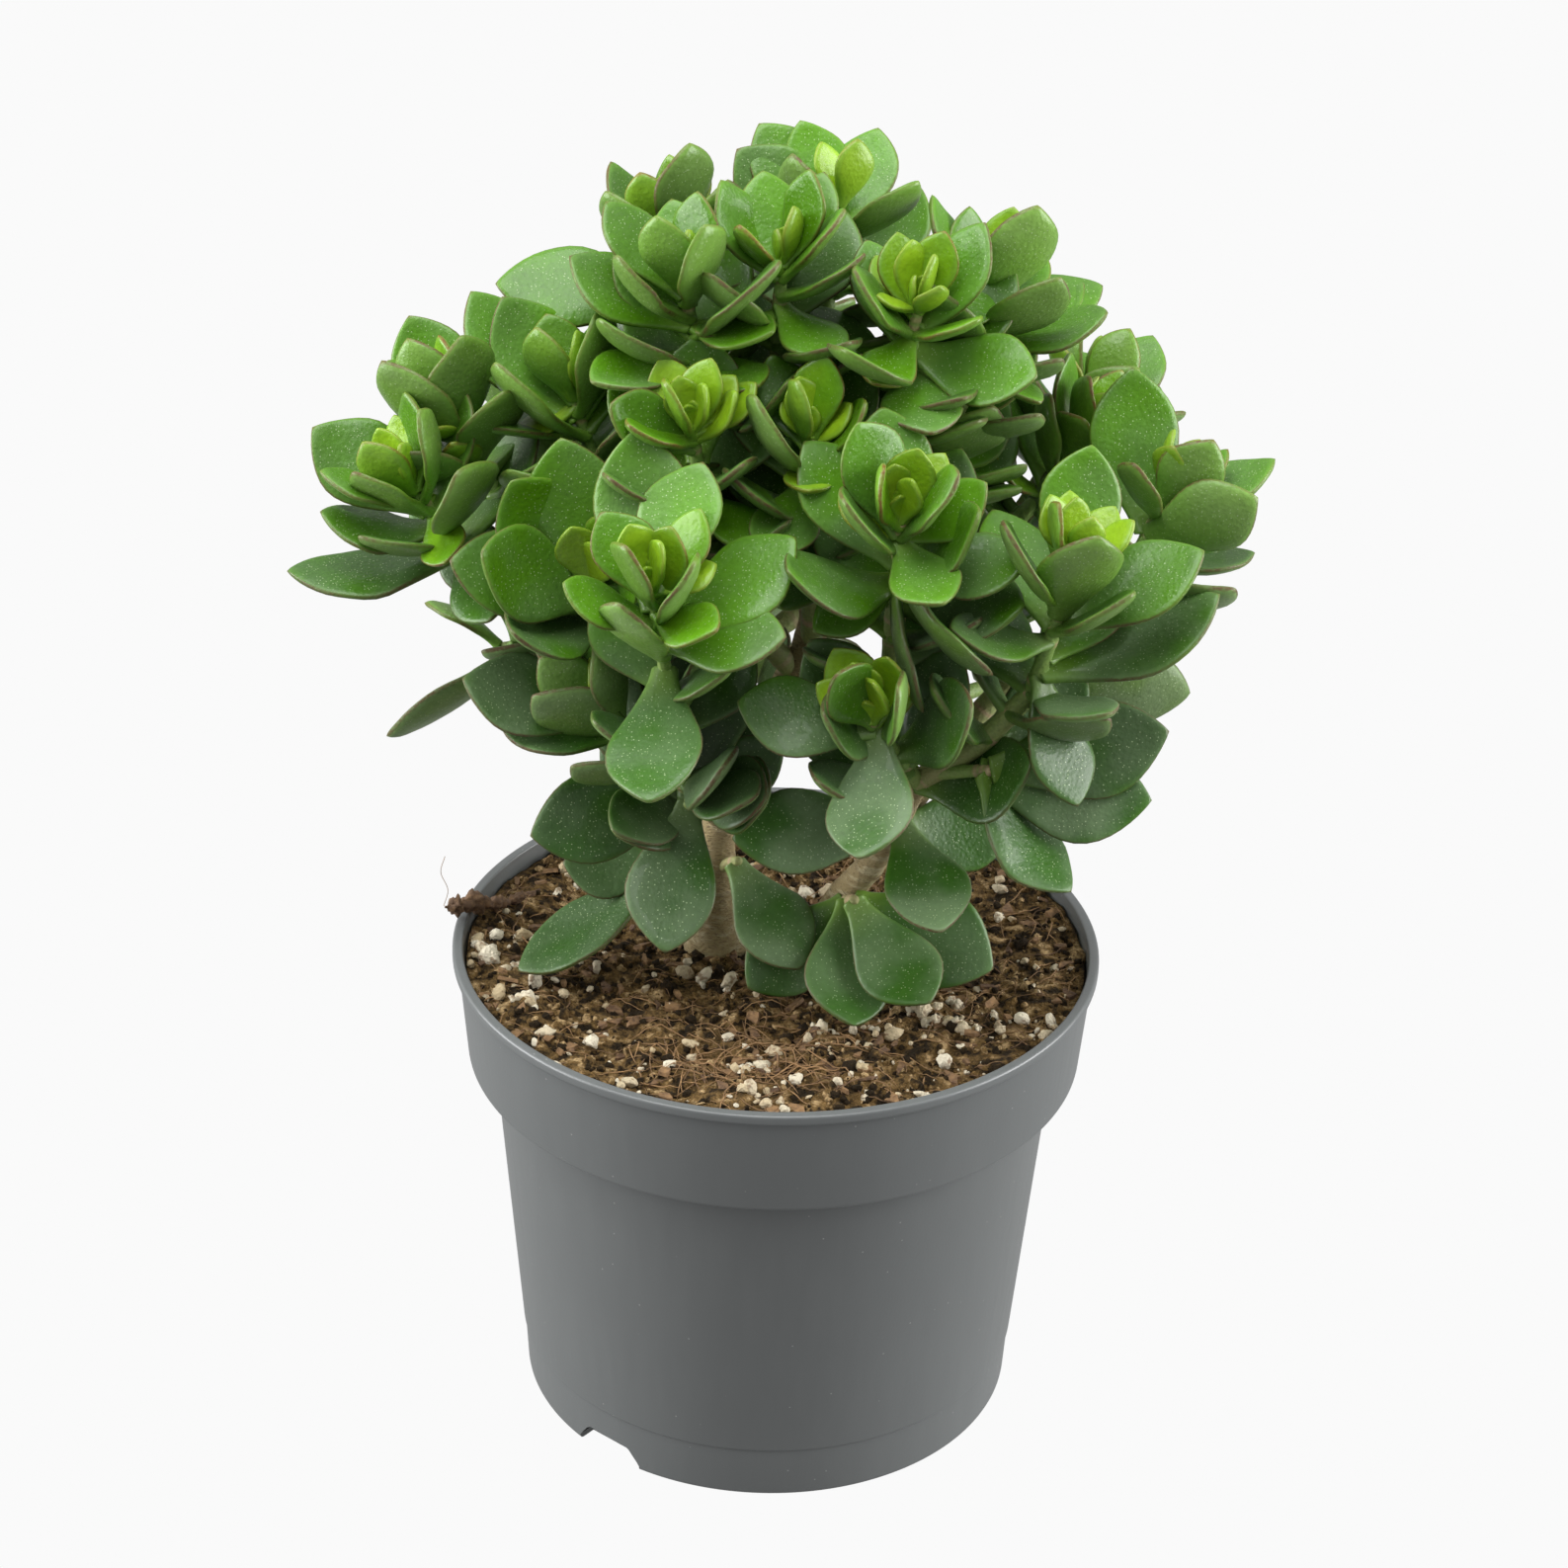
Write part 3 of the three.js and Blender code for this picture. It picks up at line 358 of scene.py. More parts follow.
@dataclass
class Shell:
    """Points and faces gathered for one mesh, with named values at each point."""

    points: list[np.ndarray] = field(default_factory=list)
    faces: list[np.ndarray] = field(default_factory=list)
    values: dict[str, list[np.ndarray]] = field(default_factory=dict)
    count: int = 0

    def add(self, points: np.ndarray, faces: Sequence[np.ndarray], **values: np.ndarray | float) -> None:
        """Adds one closed form.

        Args:
            points: rows of x, y, z.
            faces: arrays of three or four columns that count the points from 0.
            **values: a number for each point, or one for them all.
        """
        self.points.append(points)
        self.faces += [np.asarray(block) + self.count for block in faces]
        for name, value in values.items():
            spread = np.broadcast_to(np.asarray(value, float), len(points))
            self.values.setdefault(name, []).append(spread)
        self.count += len(points)

    def build(self, name: str, smooth: bool = True) -> bpy.types.Object:
        """Makes the mesh object.

        Args:
            name: the object's name.
            smooth: whether its faces are shaded smooth.

        Returns:
            The new object, linked to the scene.
        """
        corners = np.concatenate([block.ravel() for block in self.faces])
        sizes = np.concatenate([np.full(len(block), block.shape[1]) for block in self.faces])
        mesh = bpy.data.meshes.new(name)
        mesh.vertices.add(self.count)
        mesh.vertices.foreach_set("co", np.concatenate(self.points).astype(np.float32).ravel())
        mesh.loops.add(len(corners))
        mesh.loops.foreach_set("vertex_index", corners.astype(np.int32))
        mesh.polygons.add(len(sizes))
        mesh.polygons.foreach_set("loop_start", (np.cumsum(sizes) - sizes).astype(np.int32))
        mesh.update(calc_edges=True)
        mesh.validate()
        mesh.polygons.foreach_set("use_smooth", np.full(len(sizes), smooth))
        for label, blocks in self.values.items():
            layer = mesh.attributes.new(label, "FLOAT", "POINT")
            layer.data.foreach_set("value", np.concatenate(blocks).astype(np.float32))
        piece = bpy.data.objects.new(name, mesh)
        bpy.context.scene.collection.objects.link(piece)
        return piece


def circle_of(sides: int) -> np.ndarray:
    """Gives even points round a circle of radius 1, as rows of x, y."""
    turn = np.arange(sides) * (2 * math.pi / sides)
    return np.stack([np.cos(turn), np.sin(turn)], 1)


def prism_faces(sides: int) -> list[np.ndarray]:
    """Gives the faces between one outline and the next, with both ends closed.

    Args:
        sides: points in an outline.

    Returns:
        Blocks of faces. The first outline's points come first.
    """
    side = np.arange(sides)
    turn = (side + 1) % sides
    quads = np.stack([side, turn, sides + turn, sides + side], 1)
    return [quads, side[None, ::-1], sides + side[None]]


def ring_faces(rings: int, sides: int) -> list[np.ndarray]:
    """Gives the faces of a skin over rings of points, with an end point before and after them.

    Args:
        rings: number of rings.
        sides: points in a ring.

    Returns:
        Blocks of quads and triangles. Point 0 is the start and the last point is the end.
    """
    side = np.arange(sides)
    turn = (side + 1) % sides
    quads = []
    for ring in range(rings - 1):
        here, there = 1 + ring * sides, 1 + (ring + 1) * sides
        quads.append(np.stack([here + side, here + turn, there + turn, there + side], 1))
    far = 1 + (rings - 1) * sides
    start_cap = np.stack([np.zeros(sides, int), 1 + turn, 1 + side], 1)
    end_cap = np.stack([np.full(sides, far + sides), far + side, far + turn], 1)
    return [np.concatenate(quads), start_cap, end_cap]


def frames_along(path: np.ndarray) -> tuple[np.ndarray, np.ndarray, np.ndarray]:
    """Gives square axes along a path that turn as little as they can.

    Args:
        path: rows of x, y, z.

    Returns:
        The tangent, the first normal and the second normal at each row.
    """
    tangent = unit(np.gradient(path, axis=0))
    first = np.empty_like(tangent)
    start = np.array([1.0, 0, 0]) if abs(tangent[0, 0]) < 0.9 else np.array([0, 1.0, 0])
    first[0] = across_from(start, tangent[0])
    for step in range(1, len(path)):
        first[step] = across_from(first[step - 1], tangent[step])
    return tangent, first, np.cross(tangent, first)


def tube(path: np.ndarray, radius: np.ndarray, sides: int) -> tuple[np.ndarray, list[np.ndarray]]:
    """Makes a closed round tube with domed ends.

    Args:
        path: rows of x, y, z.
        radius: the tube's radius at each row.
        sides: points round it.

    Returns:
        Its points and its blocks of faces.
    """
    tangent, first, second = frames_along(path)
    x, y = circle_of(sides).T
    ring = x[None, :, None] * first[:, None] + y[None, :, None] * second[:, None]
    skin = path[:, None] + radius[:, None, None] * ring
    start = path[0] - tangent[0] * radius[0] * 0.5
    end = path[-1] + tangent[-1] * radius[-1] * 0.5
    points = np.concatenate([[start], skin.reshape(-1, 3), [end]])
    return points, ring_faces(len(path), sides)


def roughened(path: np.ndarray, points: np.ndarray, change: np.ndarray) -> np.ndarray:
    """Moves a tube's points out from its path, or in to it.

    Args:
        path: the tube's path.
        points: the tube's points.
        change: how far each moves, as a share of its distance from the path.

    Returns:
        The moved points.
    """
    sides = (len(points) - 2) // len(path)
    centre = np.concatenate([path[:1], np.repeat(path, sides, axis=0), path[-1:]])
    return centre + (points - centre) * (1 + change)[:, None]


def spread_ends(rings: np.ndarray) -> np.ndarray:
    """Gives one value for each point of a tube from one for each of its rows and points."""
    flat = rings.ravel()
    return np.concatenate([flat[:1], flat, flat[-1:]])


def through(rows: Sequence[Row], at: np.ndarray) -> np.ndarray:
    """Reads the smooth curve that a stem follows, the same one that the part's design draws.

    Args:
        rows: the points it passes through. Only x, y and z are read.
        at: shares of the way along, from 0 to 1.

    Returns:
        Rows of x, y, z.
    """
    knots = np.array([row[:3] for row in rows], float)
    knots = np.concatenate([[2 * knots[0] - knots[1]], knots, [2 * knots[-1] - knots[-2]]])
    gap = np.linalg.norm(np.diff(knots, axis=0), axis=1) ** 0.5
    place = np.clip(at, 0, 1) * (len(rows) - 1)
    left = np.minimum(place.astype(int), len(rows) - 2)
    t = (place - left)[:, None]
    a, b, c, d = (knots[left + i] for i in range(4))
    ab, bc, cd = (gap[left + i][:, None] for i in range(3))
    leave = ((b - a) / ab - (c - a) / (ab + bc) + (c - b) / bc) * bc
    arrive = ((c - b) / bc - (d - b) / (bc + cd) + (d - c) / cd) * bc
    cubic = 2 * b - 2 * c + leave + arrive
    square = -3 * b + 3 * c - 2 * leave - arrive
    return b + leave * t + square * t**2 + cubic * t**3


def finish_piece(piece: bpy.types.Object, material: bpy.types.Material, slot: Slot, *nodes: str) -> None:
    """Gives a piece its material and its body, and hides the CAD nodes that it stands for.

    Args:
        piece: the object.
        material: its material.
        slot: not used.
        *nodes: CAD nodes that it replaces.
    """
    piece.data.materials.clear()
    piece.data.materials.append(material)
    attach(piece, BODY)
    if nodes:
        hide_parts(*nodes)
    log.info("%s: %d faces", piece.name, len(piece.data.polygons))


# ---- Shader building ------------------------------------------------------------------------


class Nodes:
    """Adds shader nodes to a tree and joins them."""

    def __init__(self, tree: bpy.types.NodeTree) -> None:
        """Keeps the tree to work on."""
        self.tree = tree

    def add(self, kind: str, inputs: dict | None = None, **settings: object) -> bpy.types.Node:
        """Adds a node.

        Args:
            kind: the node's type, without "ShaderNode".
            inputs: a number, a colour or another node's output for each named or numbered socket.
            **settings: the node's own settings.

        Returns:
            The node.
        """
        node = self.tree.nodes.new("ShaderNode" + kind)
        for name, value in settings.items():
            setattr(node, name, value)
        for key, value in (inputs or {}).items():
            self.feed(node.inputs[key], value)
        return node

    def feed(self, socket: bpy.types.NodeSocket, value: object) -> None:
        """Links an output to a socket, or sets the socket to a plain value.

        Args:
            socket: the input.
            value: an output, a number or a colour.
        """
        if isinstance(value, bpy.types.NodeSocket):
            self.tree.links.new(value, socket)
        elif isinstance(value, tuple) and len(value) == 3 and socket.type == "RGBA":
            socket.default_value = (*value, 1)
        else:
            socket.default_value = value

    def sum(self, kind: str, *values: object, clamp: bool = False) -> bpy.types.NodeSocket:
        """Does one step of arithmetic, such as "MULTIPLY", on numbers or outputs."""
        inputs = dict(enumerate(values))
        return self.add("Math", inputs, operation=kind, use_clamp=clamp).outputs[0]

    def ramp(
        self, value: object, low: float, high: float, start: float = 0, end: float = 1
    ) -> bpy.types.NodeSocket:
        """Maps a value smoothly from one range to another.

        Args:
            value: a number or an output.
            low: the value that gives start.
            high: the value that gives end.
            start: the result at and before low.
            end: the result at and after high.

        Returns:
            The mapped value.
        """
        falls = low > high
        if falls:
            low, high, start, end = high, low, end, start
        inputs = {"Value": value, "From Min": low, "From Max": high, "To Min": start, "To Max": end}
        return self.add("MapRange", inputs, interpolation_type="SMOOTHSTEP").outputs[0]

    def mix(self, share: object, first: object, second: object) -> bpy.types.NodeSocket:
        """Mixes two colours.

        Args:
            share: how much of the second shows, from 0 to 1.
            first: a colour or an output.
            second: a colour or an output.

        Returns:
            The mixed colour.
        """
        node = self.tree.nodes.new("ShaderNodeMix")
        node.data_type = "RGBA"
        node.clamp_factor = True
        self.feed(node.inputs[0], share)
        self.feed(node.inputs[6], first)
        self.feed(node.inputs[7], second)
        return node.outputs[2]

    def shade(self, colour: object, share: object) -> bpy.types.NodeSocket:
        """Makes a colour darker or lighter by a share of itself."""
        return self.add("VectorMath", {0: colour, 3: share}, operation="SCALE").outputs[0]

    def value(self, name: str) -> bpy.types.NodeSocket:
        """Reads a value that the mesh holds at each point."""
        return self.add("Attribute", attribute_name=name).outputs["Fac"]

    def place(self) -> bpy.types.NodeSocket:
        """Gives the surface's place in the object's own frame."""
        return self.add("TexCoord").outputs["Object"]

    def group(self, tree: bpy.types.NodeTree, **inputs: object) -> bpy.types.Node:
        """Places a node group.

        Args:
            tree: the group.
            **inputs: values by socket name, with "_" for a space.

        Returns:
            The group's node.
        """
        node = self.tree.nodes.new("ShaderNodeGroup")
        node.node_tree = tree
        for name, value in inputs.items():
            self.feed(node.inputs[name.replace("_", " ")], value)
        return node


def bare_tree(owner: bpy.types.Material | bpy.types.World) -> bpy.types.NodeTree:
    """Gives a material's or a world's node tree, emptied.

    Args:
        owner: the new material or world.

    Returns:
        Its tree.
    """
    owner.use_nodes = True
    owner.node_tree.nodes.clear()
    return owner.node_tree


@dataclass(frozen=True)
class Socket:
    """One input or output of a node group."""

    name: str
    kind: str = "NodeSocketFloat"
    start: float = 0.0


class Effect:
    """A node group that several materials use, built once."""

    title = ""
    takes: tuple[Socket, ...] = ()
    gives: tuple[Socket, ...] = ()
    made: bpy.types.NodeTree | None = None

    @classmethod
    def tree(cls) -> bpy.types.NodeTree:
        """Gives the group, and builds it the first time.

        Returns:
            The group's tree.
        """
        if cls.made is None:
            cls.made = bpy.data.node_groups.new(cls.title, "ShaderNodeTree")
            for socket in cls.takes:
                made = cls.made.interface.new_socket(socket.name, in_out="INPUT", socket_type=socket.kind)
                if socket.kind == "NodeSocketFloat":
                    made.default_value = socket.start
            for socket in cls.gives:
                cls.made.interface.new_socket(socket.name, in_out="OUTPUT", socket_type=socket.kind)
            nodes = Nodes(cls.made)
            start = cls.made.nodes.new("NodeGroupInput")
            end = cls.made.nodes.new("NodeGroupOutput")
            cls.wire(nodes, start.outputs, end)
        return cls.made

    @classmethod
    def wire(cls, nodes: Nodes, takes: bpy.types.bpy_prop_collection, end: bpy.types.Node) -> None:
        """Adds the group's own nodes, from what it takes to its end node."""
        raise NotImplementedError


class Mottle(Effect):
    """Soft cloudy variation: a value about 0.5 that strays by Strength."""

    title = "mottle"
    takes = (
        Socket("Place", "NodeSocketVector"),
        Socket("Scale", start=60.0),
        Socket("Detail", start=3.0),
        Socket("Strength", start=1.0),
    )
    gives = (Socket("Value"),)

    @classmethod
    def wire(cls, nodes: Nodes, takes: bpy.types.bpy_prop_collection, end: bpy.types.Node) -> None:
        """Stretches a noise about its middle.

        Args:
            nodes: adds nodes to the group.
            takes: what the group takes, by name.
            end: the group's end node.
        """
        inputs = {"Vector": takes["Place"], "Scale": takes["Scale"], "Detail": takes["Detail"]}
        noise = nodes.add("TexNoise", inputs).outputs["Fac"]
        centred = nodes.sum("SUBTRACT", noise, 0.5)
        stretched = nodes.sum("MULTIPLY_ADD", centred, takes["Strength"], 0.5, clamp=True)
        nodes.feed(end.inputs["Value"], stretched)


class Specks(Effect):
    """Small round dots: 1 in a dot and 0 between the dots, thinned out in patches."""

    title = "specks"
    takes = (
        Socket("Place", "NodeSocketVector"),
        Socket("Scale", start=900.0),
        Socket("Width", start=0.2),
        Socket("Cover", start=0.5),
    )
    gives = (Socket("Value"),)

    @classmethod
    def wire(cls, nodes: Nodes, takes: bpy.types.bpy_prop_collection, end: bpy.types.Node) -> None:
        """Takes the middle of each cell, and leaves out the cells whose colour is below the cover.

        Args:
            nodes: adds nodes to the group.
            takes: what the group takes, by name.
            end: the group's end node.
        """
        inputs = {"Vector": takes["Place"], "Scale": takes["Scale"], "Randomness": 0.8}
        cells = nodes.add("TexVoronoi", inputs)
        near = nodes.sum("DIVIDE", cells.outputs["Distance"], takes["Width"])
        dot = nodes.ramp(near, 1.0, 0.4)
        picked = nodes.add("SeparateColor", {0: cells.outputs["Color"]}).outputs[0]
        kept = nodes.sum("LESS_THAN", picked, takes["Cover"])
        nodes.feed(end.inputs["Value"], nodes.sum("MULTIPLY", dot, kept))


class Grain(Effect):
    """Fine relief as a height: noise and smaller noise, for a Bump node."""

    title = "grain"
    takes = (
        Socket("Place", "NodeSocketVector"),
        Socket("Scale", start=800.0),
        Socket("Pits", start=0.5),
    )
    gives = (Socket("Height"),)

    @classmethod
    def wire(cls, nodes: Nodes, takes: bpy.types.bpy_prop_collection, end: bpy.types.Node) -> None:
        """Adds round pits to a fine noise.

        Args:
            nodes: adds nodes to the group.
            takes: what the group takes, by name.
            end: the group's end node.
        """
        noise = nodes.add("TexNoise", {"Vector": takes["Place"], "Scale": takes["Scale"], "Detail": 4.0})
        cells = nodes.add("TexVoronoi", {"Vector": takes["Place"], "Scale": takes["Scale"]})
        pits = nodes.sum("MULTIPLY", cells.outputs["Distance"], takes["Pits"])
        nodes.feed(end.inputs["Height"], nodes.sum("ADD", noise.outputs["Fac"], pits))


def mottled(nodes: Nodes, place: object, scale: float, detail: float, strength: float) -> object:
    """Places the mottle group and gives its value."""
    return nodes.group(Mottle.tree(), Place=place, Scale=scale, Detail=detail, Strength=strength).outputs[0]


def specked(nodes: Nodes, place: object, scale: float, width: float, cover: float) -> object:
    """Places the specks group and gives its value."""
    return nodes.group(Specks.tree(), Place=place, Scale=scale, Width=width, Cover=cover).outputs[0]


def grained(nodes: Nodes, place: object, scale: float, pits: float) -> object:
    """Places the grain group and gives its height."""
    return nodes.group(Grain.tree(), Place=place, Scale=scale, Pits=pits).outputs[0]


@dataclass(frozen=True)
class Finish:
    """A material: its shader's steady numbers, and nodes for what changes over the surface.

    Attributes:
        title: the material's name.
        roughness: steady roughness, where nothing else drives it.
        coat: steady weight of the clear coat.
        specular: steady level of the reflection.
        relief: depth of the bump, in metres.
    """

    title: str
    roughness: float = 0.5
    coat: float = 0.0
    specular: float = 0.5
    relief: float = 0.0001

    def paint(self, nodes: Nodes) -> dict[str, object]:
        """Gives outputs for the shader's sockets, and "Height" for its bump."""
        raise NotImplementedError

    def make(self) -> bpy.types.Material:
        """Builds the material.

        Returns:
            The material, ready to assign.
        """
        material = bpy.data.materials.new(self.title)
        tree = bare_tree(material)
        nodes = Nodes(tree)
        shader = nodes.add("BsdfPrincipled")
        shader.inputs["Roughness"].default_value = self.roughness
        shader.inputs["Coat Weight"].default_value = self.coat
        shader.inputs["Specular IOR Level"].default_value = self.specular
        outputs = self.paint(nodes)
        height = outputs.pop("Height", None)
        if height is not None:
            bump = nodes.add("Bump", {"Height": height})
            bump.inputs["Strength"].default_value = 1.0
            bump.inputs["Distance"].default_value = self.relief
            nodes.feed(shader.inputs["Normal"], bump.outputs["Normal"])
        for name, value in outputs.items():
            nodes.feed(shader.inputs[name], value)
        output = nodes.add("OutputMaterial")
        tree.links.new(shader.outputs[0], output.inputs[0])
        return material


# ---- Finishes -------------------------------------------------------------------------------


@dataclass(frozen=True)
class LeafSkin(Finish):
    """Waxy jade leaf: green by age, pale below, pale specks, a painted glow inside the edge, and a thin
    red-brown margin.

    Widths are in metres from the margin: of the worn line, of its full-strength core, of how far it
    wanders, of the painted glow inside it (a lighter green that stands in for light shining through
    the thin edge), and from where to where the specks come in.
    """

    title: str = "jade_leaf_skin"
    roughness: float = 0.33
    coat: float = 0.12
    specular: float = 0.32
    relief: float = 0.00012
    young: Colour = (0.215, 0.365, 0.012)
    grown: Colour = (0.070, 0.198, 0.004)
    old: Colour = (0.028, 0.086, 0.010)
    base: Colour = (0.20, 0.33, 0.05)
    below: Colour = (0.17, 0.28, 0.06)
    bloom: Colour = (0.17, 0.235, 0.13)
    speck: Colour = (0.40, 0.50, 0.28)
    # Painted glow: a lighter green for light shining through the leaf's thin edge.
    painted_glow_edge: Colour = (0.13, 0.27, 0.035)
    rim_young: Colour = (0.16, 0.06, 0.01)
    rim_old: Colour = (0.085, 0.042, 0.018)
    rim_width: float = 0.00056
    rim_core: float = 0.00012
    rim_wander: float = 0.0008
    painted_glow_width: float = 0.0018
    bare_width: float = 0.0008
    bare_reach: float = 0.0022

    def paint(self, nodes: Nodes) -> dict[str, object]:
        """Lays age, underside, base, bloom, specks, a painted edge glow and the margin over each other.

        Args:
            nodes: adds nodes to the material.

        Returns:
            Outputs by the shader's socket, and "Height" for its bump.
        """
        place = nodes.place()
        age = nodes.value("age")
        upper = nodes.value("upper")
        edge = nodes.value("edge")
        along = nodes.value("along")
        broad = mottled(nodes, place, 55.0, 2.0, 1.6)
        fine = mottled(nodes, place, 700.0, 4.0, 1.2)
        aged = nodes.sum("ADD", age, nodes.sum("MULTIPLY_ADD", broad, 0.24, -0.12), clamp=True)
        grown = nodes.mix(nodes.ramp(aged, 0.08, 0.5), self.young, self.grown)
        green = nodes.mix(nodes.ramp(aged, 0.55, 1.0), grown, self.old)
        foot = nodes.sum("MULTIPLY", nodes.ramp(along, 0.32, 0.0), 0.55)
        green = nodes.mix(foot, green, self.base)
        lower = nodes.sum("MULTIPLY", nodes.ramp(upper, 0.6, 0.2), nodes.ramp(aged, 0.1, 0.7, 0.12, 0.62))
        green = nodes.mix(lower, green, self.below)
        veil = nodes.sum("MULTIPLY", nodes.value("bloom"), nodes.ramp(broad, 0.2, 0.7), clamp=True)
        green = nodes.mix(nodes.sum("MULTIPLY", veil, 0.52), green, self.bloom)
        shade = nodes.sum("MULTIPLY_ADD", fine, 0.36, 0.82)
        tint = nodes.sum("MULTIPLY", shade, nodes.sum("MULTIPLY_ADD", nodes.value("tint"), 0.2, 1.0))
        green = nodes.shade(green, tint)
        small = specked(nodes, place, 1150.0, 0.23, 0.9)
        inland = nodes.ramp(edge, self.bare_width, self.bare_reach)
        dots = nodes.sum("MULTIPLY", small, nodes.ramp(aged, 0.2, 0.7, 0.1, 0.8))
        green = nodes.mix(nodes.sum("MULTIPLY", dots, inland), green, self.speck)
        wander = nodes.sum("MULTIPLY_ADD", fine, self.rim_wander, -self.rim_wander / 2)
        # Painted glow: a lighter band inside the margin, strongest on young leaves, stands in for light
        # shining through the thin edge.
        painted_glow_strength = nodes.ramp(aged, 1.0, 0.5, 0.1, 0.4)
        painted_glow_band = nodes.sum("MULTIPLY", nodes.ramp(edge, self.painted_glow_width, 0.0003), painted_glow_strength)
        green = nodes.mix(painted_glow_band, green, self.painted_glow_edge)
        rim = nodes.ramp(nodes.sum("ADD", edge, wander), self.rim_width, self.rim_core)
        worn = nodes.sum("MULTIPLY", nodes.ramp(broad, 0.2, 0.75, 0.3, 1.0), nodes.ramp(along, 0.12, 0.4))
        worn = nodes.sum("MULTIPLY", worn, nodes.ramp(aged, 0.05, 0.4, 0.35, 1.0))
        worn = nodes.sum("MULTIPLY", worn, nodes.ramp(fine, 0.3, 0.6, 0.45, 1.0))
        rim = nodes.sum("MULTIPLY", rim, worn)
        rim_colour = nodes.mix(nodes.ramp(aged, 0.15, 0.8), self.rim_young, self.rim_old)
        colour = nodes.mix(nodes.sum("MULTIPLY", rim, 0.95), green, rim_colour)
        dull = nodes.sum("ADD", nodes.sum("MULTIPLY", veil, 0.22), nodes.sum("MULTIPLY", rim, 0.25))
        roughness = nodes.sum("ADD", nodes.sum("MULTIPLY_ADD", fine, 0.14, self.roughness - 0.07), dull)
        grain = grained(nodes, place, 900.0, 0.6)
        return {"Base Color": colour, "Roughness": roughness, "Height": grain}


@dataclass(frozen=True)
class StemSkin(Finish):
    """Green stem skin: pale green between the joints and pinkish tan at each joint's scar."""

    title: str = "green_stem_skin"
    roughness: float = 0.5
    relief: float = 0.0002
    green: Colour = (0.20, 0.32, 0.075)
    woody: Colour = (0.30, 0.25, 0.12)
    scar: Colour = (0.44, 0.30, 0.19)
    line: Colour = (0.12, 0.075, 0.045)

    def paint(self, nodes: Nodes) -> dict[str, object]:
        """Turns green to tan with age, with a scar band and a thin dark line at each joint.

        Args:
            nodes: adds nodes to the material.

        Returns:
            Outputs by the shader's socket, and "Height" for its bump.
        """
        place = nodes.place()
        scar = nodes.value("scar")
        cloud = mottled(nodes, place, 180.0, 4.0, 1.8)
        fine = mottled(nodes, place, 1400.0, 3.0, 1.4)
        patchy = nodes.sum("MULTIPLY_ADD", cloud, 0.5, -0.25)
        woody = nodes.sum("ADD", nodes.value("woody"), patchy, clamp=True)
        colour = nodes.mix(woody, self.green, self.woody)
        colour = nodes.mix(nodes.ramp(scar, 0.15, 0.8, 0, 0.8), colour, self.scar)
        colour = nodes.mix(nodes.ramp(scar, 0.86, 1.0, 0, 0.7), colour, self.line)
        shade = nodes.sum("MULTIPLY_ADD", fine, 0.5, 0.75)
        colour = nodes.shade(colour, shade)
        grain = grained(nodes, place, 1100.0, 0.7)
        roughness = nodes.sum("MULTIPLY_ADD", woody, 0.25, self.roughness)
        return {"Base Color": colour, "Roughness": roughness, "Height": grain}


@dataclass(frozen=True)
class Bark(Finish):
    """Smooth tan bark with darker rings of old leaf scars, dry and grey in patches."""

    title: str = "jade_bark"
    roughness: float = 0.78
    relief: float = 0.0005
    tan: Colour = (0.35, 0.27, 0.13)
    pale: Colour = (0.50, 0.42, 0.25)
    brown: Colour = (0.13, 0.08, 0.042)

    def paint(self, nodes: Nodes) -> dict[str, object]:
        """Mixes tan, pale and brown by cloudy noise, and darkens each ring.

        Args:
            nodes: adds nodes to the material.

        Returns:
            Outputs by the shader's socket, and "Height" for its bump.
        """
        place = nodes.place()
        squash = nodes.add("Mapping", {"Vector": place, "Scale": (1.0, 1.0, 3.2)}).outputs[0]
        cloud = mottled(nodes, squash, 150.0, 5.0, 2.0)
        fine = mottled(nodes, squash, 900.0, 5.0, 2.0)
        colour = nodes.mix(nodes.ramp(cloud, 0.45, 0.85), self.tan, self.pale)
        colour = nodes.mix(nodes.ramp(fine, 0.5, 0.95, 0, 0.7), colour, self.brown)
        colour = nodes.mix(nodes.ramp(nodes.value("scar"), 0.5, 1.0, 0, 0.75), colour, self.brown)
        height = nodes.sum("ADD", fine, nodes.sum("MULTIPLY", cloud, 0.8))
        return {"Base Color": colour, "Height": height}


@dataclass(frozen=True)
class PotPlastic(Finish):
    """Satin grey moulded plastic with faint rubbing, pale dust specks and a fine grain."""

    title: str = "grey_pot_plastic"
    roughness: float = 0.33
    specular: float = 0.6
    relief: float = 0.00002
    grey: Colour = (0.112, 0.119, 0.119)
    rubbed: Colour = (0.132, 0.140, 0.139)
    dust: Colour = (0.36, 0.36, 0.34)

    def paint(self, nodes: Nodes) -> dict[str, object]:
        """Rubs the grey lighter in clouds and along scuffs, and scatters a few dust specks.

        Args:
            nodes: adds nodes to the material.

        Returns:
            Outputs by the shader's socket, and "Height" for its bump.
        """
        place = nodes.place()
        drawn = nodes.add("Mapping", {"Vector": place, "Scale": (1.0, 1.0, 0.12)}).outputs[0]
        cloud = mottled(nodes, place, 22.0, 4.0, 1.6)
        drag = mottled(nodes, drawn, 260.0, 5.0, 1.5)
        colour = nodes.mix(nodes.sum("MULTIPLY", cloud, drag), self.grey, self.rubbed)
        dust = specked(nodes, place, 300.0, 0.09, 0.3)
        colour = nodes.mix(nodes.sum("MULTIPLY", dust, 0.7), colour, self.dust)
        roughness = nodes.sum("MULTIPLY_ADD", drag, 0.12, self.roughness - 0.06)
        grain = grained(nodes, place, 1500.0, 0.3)
        return {"Base Color": colour, "Roughness": roughness, "Height": grain}


